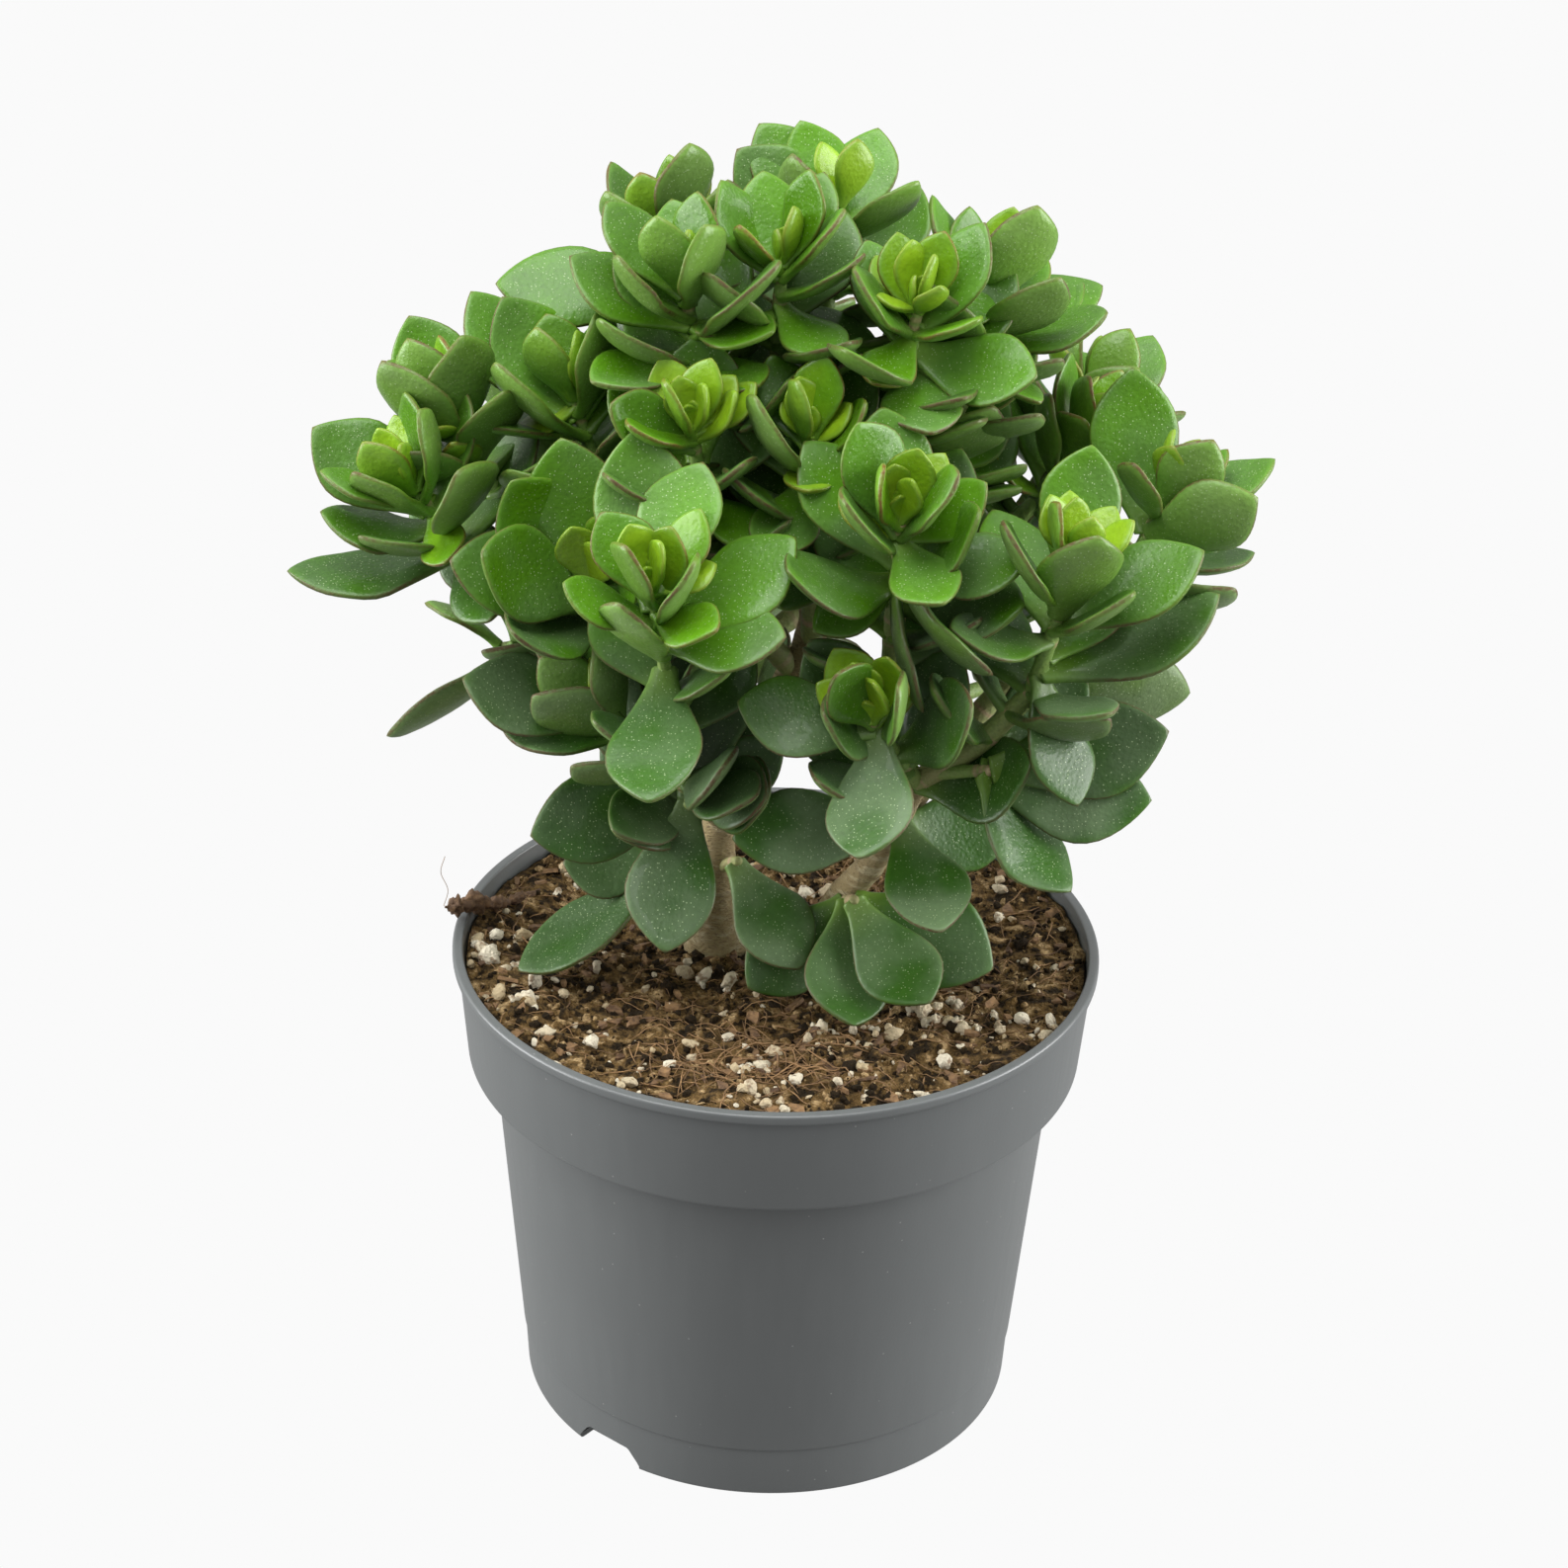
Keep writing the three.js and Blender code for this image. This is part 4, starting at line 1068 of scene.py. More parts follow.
@dataclass(frozen=True)
class Peat(Finish):
    """Damp potting soil: near-black peat, brown crumbs and rusty coir dust."""

    title: str = "damp_potting_soil"
    roughness: float = 0.92
    specular: float = 0.25
    relief: float = 0.0006
    dark: Colour = (0.02, 0.0115, 0.003)
    brown: Colour = (0.16, 0.095, 0.032)
    rust: Colour = (0.50, 0.345, 0.17)

    def paint(self, nodes: Nodes) -> dict[str, object]:
        """Mixes the three browns by lump, with each crumb's own tone.

        Args:
            nodes: adds nodes to the material.

        Returns:
            Outputs by the shader's socket, and "Height" for its bump.
        """
        place = nodes.place()
        tone = nodes.value("tone")
        cloud = mottled(nodes, place, 240.0, 5.0, 2.4)
        fine = mottled(nodes, place, 1500.0, 5.0, 2.0)
        blend = nodes.sum("ADD", cloud, nodes.sum("SUBTRACT", tone, 0.5), clamp=True)
        colour = nodes.mix(nodes.ramp(blend, 0.2, 0.62), self.dark, self.brown)
        colour = nodes.mix(nodes.ramp(blend, 0.62, 0.95, 0, 0.9), colour, self.rust)
        shade = nodes.sum("MULTIPLY_ADD", fine, 1.1, 0.4)
        colour = nodes.shade(colour, shade)
        return {"Base Color": colour, "Height": nodes.sum("ADD", cloud, fine)}


@dataclass(frozen=True)
class Mineral(Finish):
    """Perlite and pumice: cream white, pitted and soiled brown in places."""

    title: str = "cream_perlite"
    roughness: float = 0.88
    relief: float = 0.0003
    cream: Colour = (0.46, 0.36, 0.21)
    white: Colour = (0.70, 0.64, 0.50)
    soiled: Colour = (0.22, 0.14, 0.075)

    def paint(self, nodes: Nodes) -> dict[str, object]:
        """Goes from white to cream with each grain, with brown in cloudy patches.

        Args:
            nodes: adds nodes to the material.

        Returns:
            Outputs by the shader's socket, and "Height" for its bump.
        """
        place = nodes.place()
        cloud = mottled(nodes, place, 420.0, 5.0, 2.4)
        colour = nodes.mix(nodes.value("tone"), self.white, self.cream)
        colour = nodes.mix(nodes.ramp(cloud, 0.58, 0.95, 0, 0.85), colour, self.soiled)
        pits = grained(nodes, place, 1300.0, 1.2)
        return {"Base Color": colour, "Height": pits}


@dataclass(frozen=True)
class DryFibre(Finish):
    """Coir fibre and bark chips: rusty to dark brown, streaked."""

    title: str = "dry_brown_fibre"
    roughness: float = 0.8
    relief: float = 0.0002
    rusty: Colour = (0.33, 0.19, 0.08)
    brown: Colour = (0.085, 0.045, 0.022)

    def paint(self, nodes: Nodes) -> dict[str, object]:
        """Mixes rusty and dark brown by each piece's tone and by streaks.

        Args:
            nodes: adds nodes to the material.

        Returns:
            Outputs by the shader's socket, and "Height" for its bump.
        """
        place = nodes.place()
        streak = mottled(nodes, place, 800.0, 5.0, 2.2)
        streaky = nodes.sum("MULTIPLY_ADD", streak, 0.7, -0.35)
        blend = nodes.sum("ADD", nodes.value("tone"), streaky, clamp=True)
        return {"Base Color": nodes.mix(blend, self.rusty, self.brown), "Height": streak}


@dataclass(frozen=True)
class StudioFloor(Finish):
    """A pale floor that looks the same as the studio's backdrop."""

    title: str = "pale_studio_floor"
    level: float = 0.956
    bounce: float = 0.4

    def make(self) -> bpy.types.Material:
        """Builds a plain pale glow for the camera and a paler bounce for everything else.

        Returns:
            The material.
        """
        material = bpy.data.materials.new(self.title)
        tree = bare_tree(material)
        nodes = Nodes(tree)
        seen = nodes.add("Emission", {"Color": (self.level,) * 3, "Strength": 1.0})
        given = nodes.add("Emission", {"Color": (self.level,) * 3, "Strength": self.bounce})
        direct = nodes.add("LightPath").outputs["Is Camera Ray"]
        mixed = nodes.add("MixShader", {0: direct, 1: given.outputs[0], 2: seen.outputs[0]})
        output = nodes.add("OutputMaterial")
        tree.links.new(mixed.outputs[0], output.inputs[0])
        return material


# ---- The plant ------------------------------------------------------------------------------


@dataclass
class Leaf:
    """One fleshy leaf, from its node to its tip.

    Attributes:
        node: where it grows from, in millimetres.
        reach: from the node to its tip, in millimetres.
        axis: the shoot's direction, which its upper face turns to.
        show: how far the face turns to the front, or away if negative.
        age: 0 for a new leaf and 1 for an old one; leaves low on the plant get more, partly as painted
            shade.
        draw: random numbers that make it differ from its neighbours.
    """

    node: np.ndarray
    reach: np.ndarray
    axis: np.ndarray
    show: float
    age: float
    draw: np.ndarray

    # Lengths are in millimetres, and shares are of the leaf's length unless a comment says otherwise.
    FRONT = np.array([0, -0.88, 0.47])
    SLIMNESS = 0.62
    WIDEST = 23.5
    WIDTH_VARIES = 0.07
    THINNEST = 1.5
    FATTENING = 0.062
    BOW = 0.07
    BOW_VARIES = 0.7
    DRIFT = 0.035
    LAST_RING = 0.985
    # The section's roundness towards its margin and towards its faces: 1 is an ellipse.
    MARGIN_POWER = 0.85
    FACE_POWER = 0.9
    # Shares of half the thickness, above and below the middle, and of the crease in the upper face.
    ABOVE = 0.8
    UNDER = 1.1
    CREASE_DEPTH = 0.09
    # Shares of half the width.
    CREASE_WIDTH = 0.1
    CUP = 0.11
    CUP_VARIES = 0.1
    RIPPLE = 0.035
    RIPPLES = 5
    # In radians at the leaf's middle.
    TWIST = 0.16
    # How fast the margin's line thins out before the tip.
    TIP_EDGE = 0.55
    # The age from which a leaf turns dusty, how fast it does, and how much that varies.
    BLOOM_AGE = 0.5
    BLOOM_RATE = 2.4
    BLOOM_VARIES = 0.3
    RINGS = 20
    SIDES = 20
    WIDTHS = (
        (0, 0.28), (0.08, 0.32), (0.2, 0.48), (0.35, 0.74), (0.5, 0.95), (0.61, 1.0), (0.71, 0.94),
        (0.8, 0.78), (0.88, 0.55), (0.94, 0.32), (0.975, 0.15), (1.0, 0.02),
    )
    BODIES = ((0, 1.1), (0.1, 0.95), (0.35, 1.0), (0.6, 0.98), (0.85, 0.8), (0.96, 0.55), (1, 0.15))

    def add_to(self, shell: Shell) -> None:
        """Adds the leaf's closed skin and its values to a shell.

        Args:
            shell: what gathers the shoot's leaves.
        """
        length = float(np.linalg.norm(self.reach))
        along = self.reach / length
        upward = across_from(self.axis, along)
        forward = across_from(self.FRONT, along)
        face = unit(upward * (1 - abs(self.show)) + forward * self.show)
        across = np.cross(face, along)
        slim, cup, twist, tint, arch, wave, lean = self.draw
        half = min(self.SLIMNESS * length, self.WIDEST) / 2 * (1 + self.WIDTH_VARIES * slim)
        thick = (self.THINNEST + self.FATTENING * length) / 2
        share = (1 - np.cos(np.linspace(0, math.pi, self.RINGS + 2)))[1:-1] / 2
        share = share * self.LAST_RING
        wide = half * smooth_profile(self.WIDTHS, share)
        deep = thick * smooth_profile(self.BODIES, share)
        sway, rise = circle_of(self.SIDES).T
        side = wide[:, None] * (np.sign(sway) * np.abs(sway) ** self.MARGIN_POWER)[None]
        lift = deep[:, None] * (np.sign(rise) * np.abs(rise) ** self.FACE_POWER)[None]
        lift = np.where(lift > 0, lift * self.ABOVE, lift * self.UNDER)
        middling = 4 * share * (1 - share)
        belly = np.sin(math.pi * share)
        crease = np.exp(-((side / (self.CREASE_WIDTH * half)) ** 2)) * np.where(lift > 0, 1, 0)
        lift -= crease * self.CREASE_DEPTH * thick * belly[:, None]
        cupped = (self.CUP + self.CUP_VARIES * cup) * half * (side / half) ** 2
        ripple = self.RIPPLE * wave * np.sin(self.RIPPLES * share * math.pi)[:, None] * side
        spin = self.TWIST * twist * middling[:, None]
        lift = lift + cupped + ripple + spin * side
        bowed = self.BOW * (1 + self.BOW_VARIES * arch) * length * middling
        drift = self.DRIFT * lean * length * belly
        middle = self.node + np.outer(share * length, along)
        middle += np.outer(drift, across) - np.outer(bowed, face)
        skin = middle[:, None] + side[..., None] * across + lift[..., None] * face
        points = np.concatenate([[self.node], skin.reshape(-1, 3), [self.node + self.reach]]) * MM
        margin = (wide[:, None] - np.abs(side)) * MM
        to_tip = (1 - share)[:, None] * length * MM * self.TIP_EDGE
        edge = spread_ends(np.minimum(margin, to_tip))
        edge[-1] = 0
        upper = spread_ends(0.5 + 0.5 * np.tile(rise, (len(share), 1)))
        stretch = spread_ends(np.repeat(share, self.SIDES))
        dusty = float(np.clip((self.age - self.BLOOM_AGE) * self.BLOOM_RATE, 0, 1))
        bloom = dusty * (1 - self.BLOOM_VARIES + self.BLOOM_VARIES * wave)
        shell.add(
            points, ring_faces(len(share), self.SIDES), edge=edge, upper=upper, along=stretch,
            age=self.age, tint=tint, bloom=bloom,
        )


@dataclass
class Shoot:
    """A leafy green shoot: its stem with a swelling at each pair of leaves, and its leaves.

    Attributes:
        lowest_rosette: height of the lowest bud that has a rosette round it.
        lift: how far a rosette turns from its shoot's axis to straight up.
        apart: a planned leaf within this cosine of a ruled one takes its place,
        near: if it is also this near along the shoot.
        sway: how far a ruled leaf strays sideways,
        spread: how much its lean varies,
        growth: and how much its length varies.
        young_size: the length at which a leaf starts to look grown,
        grown_size: and at which it does.
        green_height: height above which all leaves stay a fresh green,
        dark_height: and below which they are the darkest.
        size_ages: how much a leaf's size adds to its age,
        place_ages: how much its place low on the shoot adds,
        shade_and_age_by_height: and how much its place low on the plant adds, partly for age and partly as
            painted shade under the canopy.
        stem_green: height above which the stem is green,
        stem_woody: and below which it is as woody as it gets,
        most_woody: which is this much.
        scar_strength: how strongly its joints are marked.
    """

    plan: ShootPlan
    leaf_skin: bpy.types.Material
    stem_skin: bpy.types.Material
    stem_radius: float = 2.3
    bud_radius: float = 1.2
    scar_width: float = 1.1
    swelling: float = 0.16
    sides: int = 14
    steps: int = 40
    lowest_rosette: float = 212.0
    lift: float = 0.9
    apart: float = 0.91
    near: float = 0.35
    sway: float = 0.3
    spread: float = 0.22
    growth: float = 0.14
    young_size: float = 14.0
    grown_size: float = 29.0
    green_height: float = 275.0
    dark_height: float = 185.0
    size_ages: float = 0.62
    place_ages: float = 0.14
    # Leaves low on the plant are darkened partly for age and partly as painted shade under the canopy.
    shade_and_age_by_height: float = 0.42
    stem_green: float = 215.0
    stem_woody: float = 170.0
    most_woody: float = 0.7
    scar_strength: float = 0.7

    # A rosette's leaf pairs, from the bud down: share of the shoot, length and lean from its axis.
    ROSETTE = (
        (1.0, 9, 0.14), (1.0, 17, 0.24), (0.95, 23, 0.36), (0.84, 28, 0.5), (0.68, 31, 0.68),
        (0.48, 33, 1.0), (0.25, 34, 1.5), (0.0, 34, 2.3),
    )
    FIRST_TURN = np.array([0.7, -0.7, 0.1])
    # Leaf pairs on the limb itself: share of the limb below the shoot, and lean.
    LIMB_PAIRS = ((0.2, 1.6), (0.4, 1.9))
    LIMB_LEAF = 32.0

    def __post_init__(self) -> None:
        """Finds where the shoot starts and its own random numbers."""
        self.base = through(WOOD[self.plan.limb], np.array([self.plan.share]))[0] + PLANTED
        self.rise = np.array(self.plan.rise, float)
        self.axis = unit(self.rise)
        index = [plan.name for plan in SHOOTS].index(self.plan.name)
        self.random = np.random.default_rng(SEED + index)

    def age_and_shade_of(self, share: float, length: float, height: float) -> float:
        """Gives a leaf's age, with painted shade added for leaves low on the plant.

        Args:
            share: how far up the shoot it sits.
            length: its length in millimetres.
            height: its tip's height in millimetres.

        Returns:
            0 for new, 0.5 for grown and 1 for old.
        """
        size = float(blend_of(self.young_size, self.grown_size, length))
        low = float(blend_of(self.green_height, self.dark_height, height))
        # The height term is partly age and partly painted shade under the canopy.
        age = self.size_ages * size + self.place_ages * (1 - share) + self.shade_and_age_by_height * low * size
        return float(np.clip(age, 0, 1))

    def turned_up(self, axis: np.ndarray) -> tuple[np.ndarray, np.ndarray, np.ndarray]:
        """Turns an axis up to the light.

        Args:
            axis: the way the stem grows.

        Returns:
            The way the leaves' middle points, and the two ways across it that pairs take in turn.
        """
        heading = unit(axis + np.array([0, 0, self.lift]))
        first = across_from(self.FIRST_TURN, heading)
        return heading, first, np.cross(heading, first)

    def leaves(self) -> Iterator[Leaf]:
        """Gives the planned leaves, then the ones that the rosette's and the limb's rules add.

        Returns:
            The leaves, one by one.
        """
        for share, right, back, up, *show in self.plan.leaves:
            yield self.leaf(share, np.array([right, back, up], float), show[0] if show else 0.0)
        if (self.base + self.rise)[2] < self.lowest_rosette:
            return
        planned = [(row[0], unit(np.array(row[1:4], float))) for row in self.plan.leaves]
        heading, first, second = self.turned_up(self.axis)
        for pair, (share, length, lean) in enumerate(self.ROSETTE):
            for sign in (-1, 1):
                out = (first if pair % 2 else second) * sign
                way = unit(heading + out * lean)
                taken = any(
                    abs(other - share) < self.near and np.dot(way, toward) > self.apart
                    for other, toward in planned
                )
                turn, open_out, grow = self.random.uniform(-1, 1, 3)
                out = unit(out + np.cross(heading, out) * self.sway * turn)
                way = unit(heading + out * lean * (1 + self.spread * open_out))
                if not taken:
                    yield self.leaf(share, way * length * (1 + self.growth * grow), 0.0)
        yield from self.limb_leaves()

    def limb_leaves(self) -> Iterator[Leaf]:
        """Gives the older pairs that still sit on the limb below the shoot.

        Returns:
            The leaves, one by one.
        """
        if not self.plan.limb.startswith("limb"):
            return
        for pair, (down, lean) in enumerate(self.LIMB_PAIRS):
            share = self.plan.share - down
            node, ahead = through(WOOD[self.plan.limb], np.array([share, share + 0.05])) + PLANTED
            axis = unit(ahead - node)
            heading, first, second = self.turned_up(axis)
            age = self.age_and_shade_of(0, self.LIMB_LEAF, float(node[2]))
            for sign in (-1, 1):
                way = unit(heading + (second if pair % 2 else first) * sign * lean)
                yield Leaf(node, way * self.LIMB_LEAF, axis, 0.0, age, self.random.uniform(-1, 1, 7))

    def leaf(self, share: float, reach: np.ndarray, show: float) -> Leaf:
        """Gives one leaf of the shoot.

        Args:
            share: how far up the shoot it sits.
            reach: from its node to its tip, in millimetres.
            show: how far its face turns to the front.

        Returns:
            The leaf, with its age and its own random numbers.
        """
        node = self.base + self.rise * share
        age = self.age_and_shade_of(share, float(np.linalg.norm(reach)), float((node + reach)[2]))
        return Leaf(node, reach, self.axis, show, age, self.random.uniform(-1, 1, 7))

    def stem(self) -> Shell:
        """Makes the green stem, swollen and scarred at each leaf pair.

        Returns:
            A shell of the stem.
        """
        share = np.linspace(0, 1, self.steps)
        path = self.base + np.outer(share, self.rise)
        radius = self.stem_radius + (self.bud_radius - self.stem_radius) * share
        joints = sorted({round(row[0], 1) for row in self.plan.leaves})
        length = float(np.linalg.norm(self.rise))
        near = np.min([np.abs(share - joint) for joint in joints], axis=0) * length
        scar = np.exp(-((near / self.scar_width) ** 2))
        points, faces = tube(path * MM, radius * (1 + self.swelling * scar) * MM, self.sides)
        shell = Shell()
        woody = blend_of(self.stem_green, self.stem_woody, path[:, 2]) * self.most_woody
        shell.add(
            points, faces,
            scar=spread_ends(np.repeat(scar * self.scar_strength, self.sides)),
            woody=spread_ends(np.repeat(woody, self.sides)),
        )
        return shell

    def build(self) -> None:
        """Makes the shoot's two pieces, which stand for its CAD node."""
        shell = Shell()
        for leaf in self.leaves():
            leaf.add_to(shell)
        node = "shoot_" + self.plan.name
        finish_piece(shell.build("leaves_" + self.plan.name), self.leaf_skin, Slot.LEAF, node)
        finish_piece(self.stem().build("stem_" + self.plan.name), self.stem_skin, Slot.GREEN_STEM, node)


@dataclass
class Limb:
    """A woody stem or a limb, ringed by old leaf scars. Millimetres.

    Attributes:
        step: length of path for each ring of points.
        joint_gap: length of path from one scar to the next.
        swelling: how much wider it is at a scar, as a share,
        swelling_width: and over what length.
        wander: how far a scar strays from its even place,
        wander_rate: and how fast that changes, in radians.
        ridge_size: how far apart the bark's ridges are.
        ridges: how high they are on a limb, as a share of its radius,
        trunk_ridges: and on a stem out of the soil.
        green_radius: a limb this thin is still green,
        woody_radius: and one this thick has bark.
        least_woody: how woody the thinnest limb is,
        low_woody: how much more a limb low on the plant is,
        green_height: height above which that adds nothing,
        woody_height: and below which it adds it all.
    """

    name: str
    bark: bpy.types.Material
    green: bpy.types.Material
    sides: int = 24
    step: float = 0.9
    joint_gap: float = 9.5
    scar_width: float = 0.75
    swelling: float = 0.07
    swelling_width: float = 2.0
    wander: float = 2.2
    wander_rate: float = 0.21
    ridge_size: float = 4.0
    ridges: float = 0.02
    trunk_ridges: float = 0.045
    green_radius: float = 2.2
    woody_radius: float = 4.4
    least_woody: float = 0.25
    low_woody: float = 0.35
    green_height: float = 225.0
    woody_height: float = 180.0

    @property
    def is_wood(self) -> bool:
        """Whether it is one of the two stems out of the soil."""
        return not self.name.startswith("limb")

    def build(self) -> None:
        """Makes the limb, which stands for its CAD node."""
        rows = WOOD[self.name]
        knots = np.array([row[:3] for row in rows], float)
        length = float(np.linalg.norm(np.diff(knots, axis=0), axis=1).sum())
        at = np.linspace(0, 1, int(length / self.step))
        path = through(rows, at) + PLANTED
        radius = smooth_profile([(i / (len(rows) - 1), row[3]) for i, row in enumerate(rows)], at)
        travelled = np.concatenate([[0], np.cumsum(np.linalg.norm(np.diff(path, axis=0), axis=1))])
        number = sum(map(ord, self.name)) % 97
        warped = travelled + self.wander * np.sin(travelled * self.wander_rate + number)
        phase = (warped / self.joint_gap + number * 0.37) % 1
        near = np.minimum(phase, 1 - phase) * self.joint_gap
        scar = np.exp(-((near / self.scar_width) ** 2))
        swell = np.exp(-((near / self.swelling_width) ** 2))
        points, faces = tube(path * MM, radius * (1 + self.swelling * swell) * MM, self.sides)
        rough = lumps(points, self.ridge_size * MM, number, 3)
        ridge = self.trunk_ridges if self.is_wood else self.ridges
        points = roughened(path * MM, points, ridge * rough)
        thick = blend_of(self.green_radius, self.woody_radius, radius)
        low = blend_of(self.green_height, self.woody_height, path[:, 2])
        woody = self.least_woody + (1 - self.least_woody) * thick + self.low_woody * low
        shell = Shell()
        shell.add(
            points, faces,
            scar=spread_ends(np.repeat(scar, self.sides)) * (0.8 + 0.2 * rough),
            woody=spread_ends(np.repeat(np.clip(woody, 0, 1), self.sides)),
        )
        piece = shell.build(("wood_" if self.is_wood else "branch_") + self.name.replace("limb_", ""))
        material = self.bark if self.is_wood else self.green
        slot = Slot.WOOD if self.is_wood else Slot.GREEN_STEM
        finish_piece(piece, material, slot, self.name)


# ---- The pot and its soil --------------------------------------------------------------------


@dataclass
class Pot:
    """The moulded pot: foot, tapered body, shoulder, band and rounded lip. Millimetres."""

    material: bpy.types.Material
    height: float = POT_TOP
    rim: float = POT_RIM
    lip: float = 3.0
    band: float = 30.4
    band_top: float = 83.6
    band_bottom: float = 81.2
    body_top: float = 74.6
    body_bottom: float = 66.0
    foot: float = 15.2
    foot_share: float = 0.15
    wall: float = 1.3
    floor: float = 1.8
    sides: int = 180
    slot_angle: float = -129.0
    slot_height: float = 6.8
    slot_bottom: float = 21.0
    slot_top: float = 12.5
    slot_reach: float = 6.0
    hole_radius: float = 4.0
    hole_ring: float = 42.0
    holes: int = 6

    def outline(self) -> list[tuple[float, float, float]]:
        """Gives the section's corners, from the middle of the underside to the middle of the floor.

        Returns:
            Rows of radius, height and corner radius.
        """
        shoulder = self.height - self.band
        foot_radius = self.body_bottom + (self.body_top - self.body_bottom) * self.foot_share
        lip_foot = self.height - self.lip
        return [
            (0, 0, 0), (self.body_bottom, 0, 1.6), (foot_radius - 0.45, self.foot - 0.5, 0.3),
            (foot_radius - 0.45, self.foot, 0.2), (foot_radius, self.foot + 0.5, 0.3),
            (self.body_top, shoulder, 1.0), (self.band_bottom, shoulder, 1.1),
            (self.band_top, lip_foot, 0.3), (self.rim, lip_foot + 0.4, 0.7), (self.rim, self.height, 0.8),
            (self.band_top - self.wall, self.height, 0.6),
            (self.band_bottom - self.wall, shoulder + self.wall, 0.8),
            (self.body_top - self.wall, shoulder + self.wall, 0.8),
            (self.body_bottom - self.wall + 0.8, self.floor, 1.2), (0, self.floor, 0),
        ]

    def rounded(self) -> np.ndarray:
        """Gives the section with each corner rounded.

        Returns:
            Rows of radius and height.
        """
        corners = self.outline()
        points = [np.array(corners[0][:2], float)]
        for before, here, after in zip(corners, corners[1:], corners[2:]):
            corner = np.array(here[:2], float)
            into = unit(corner - np.array(before[:2], float))
            out = unit(np.array(after[:2], float) - corner)
            bend = math.acos(float(np.clip(np.dot(into, out), -1, 1)))
            back = here[2] * math.tan(bend / 2)
            start, end = corner - into * back, corner + out * back
            for share in np.linspace(0, 1, 6 if here[2] > 0 else 1):
                points.append((1 - share) ** 2 * start + 2 * share * (1 - share) * corner + share**2 * end)
        points.append(np.array(corners[-1][:2], float))
        return np.array(points)

    def turned(self) -> bpy.types.Object:
        """Turns the section round the middle into a closed solid.

        Returns:
            The pot, before its slots and holes are cut.
        """
        section = self.rounded()
        inner = section[1:-1]
        ring = circle_of(self.sides)
        rings = [np.column_stack([radius * ring, np.full(self.sides, z)]) for radius, z in inner]
        points = np.concatenate([[[0, 0, 0]], *rings, [[0, 0, section[-1][1]]]]) * MM
        shell = Shell()
        shell.add(points, ring_faces(len(inner), self.sides))
        return shell.build("nursery_pot")

    def cutter(self) -> bpy.types.Object:
        """Makes what cuts the two foot slots and the drain holes.

        Returns:
            One object of all the cutting forms.
        """
        shell = Shell()
        for side in range(2):
            angle = math.radians(self.slot_angle + 180 * side)
            out = np.array([math.cos(angle), math.sin(angle), 0])
            along = np.array([-out[1], out[0], 0])
            half, top, high = self.slot_bottom / 2, self.slot_top / 2, self.slot_height
            right = [
                (half, -2), (half, 1.6), (half - 0.6, 2.6), (top + 1.2, high - 1), (top, high - 0.2),
                (top - 1.2, high),
            ]
            outline = [(-half, -2), *right, *[(-x, z) for x, z in reversed(right[1:])]]
            rings = []
            for radius in (self.body_bottom - self.slot_reach, self.body_bottom + 8):
                rings += [radius * out + x * along + np.array([0, 0, z]) for x, z in outline]
            shell.add(np.array(rings) * MM, prism_faces(len(outline)))
        for hole in range(self.holes):
            angle = 2 * math.pi * hole / self.holes
            centre = np.array([self.hole_ring * math.cos(angle), self.hole_ring * math.sin(angle), 0])
            path = np.array([centre + [0, 0, z] for z in (-4, 0, 4)]) * MM
            points, faces = tube(path, np.full(3, self.hole_radius * MM), 32)
            shell.add(points, faces)
        return shell.build("pot_cutter", smooth=False)

    def build(self) -> None:
        """Makes the pot, which stands for its CAD node."""
        piece = self.turned()
        cutter = self.cutter()
        cut = piece.modifiers.new("cut", "BOOLEAN")
        cut.object = cutter
        cut.operation = "DIFFERENCE"
        cut.solver = "EXACT"
        apply_modifiers(piece)
        bpy.data.objects.remove(cutter)
        shade_by_angle(piece, 32)
        finish_piece(piece, self.material, Slot.POT, "pot")


def apply_modifiers(piece: bpy.types.Object) -> None:
    """Replaces a piece's mesh by its mesh with every modifier applied.

    Args:
        piece: the object with modifiers.
    """
    graph = bpy.context.evaluated_depsgraph_get()
    made = bpy.data.meshes.new_from_object(piece.evaluated_get(graph))
    piece.modifiers.clear()
    piece.data = made


def shade_by_angle(piece: bpy.types.Object, degrees: float) -> None:
    """Shades a piece smooth, but for the edges that turn more than an angle."""
    piece.data.shade_smooth()
    piece.data.set_sharp_from_angle(angle=math.radians(degrees))


@dataclass(frozen=True)
class Sizes:
    """Radii in millimetres: many near the least, fewer and fewer up to the most."""

    shape: float
    scale: float
    least: float
    most: float

    def draw(self, random: np.random.Generator, count: int) -> np.ndarray:
        """Draws so many radii."""
        return np.minimum(random.gamma(self.shape, self.scale, count) + self.least, self.most)


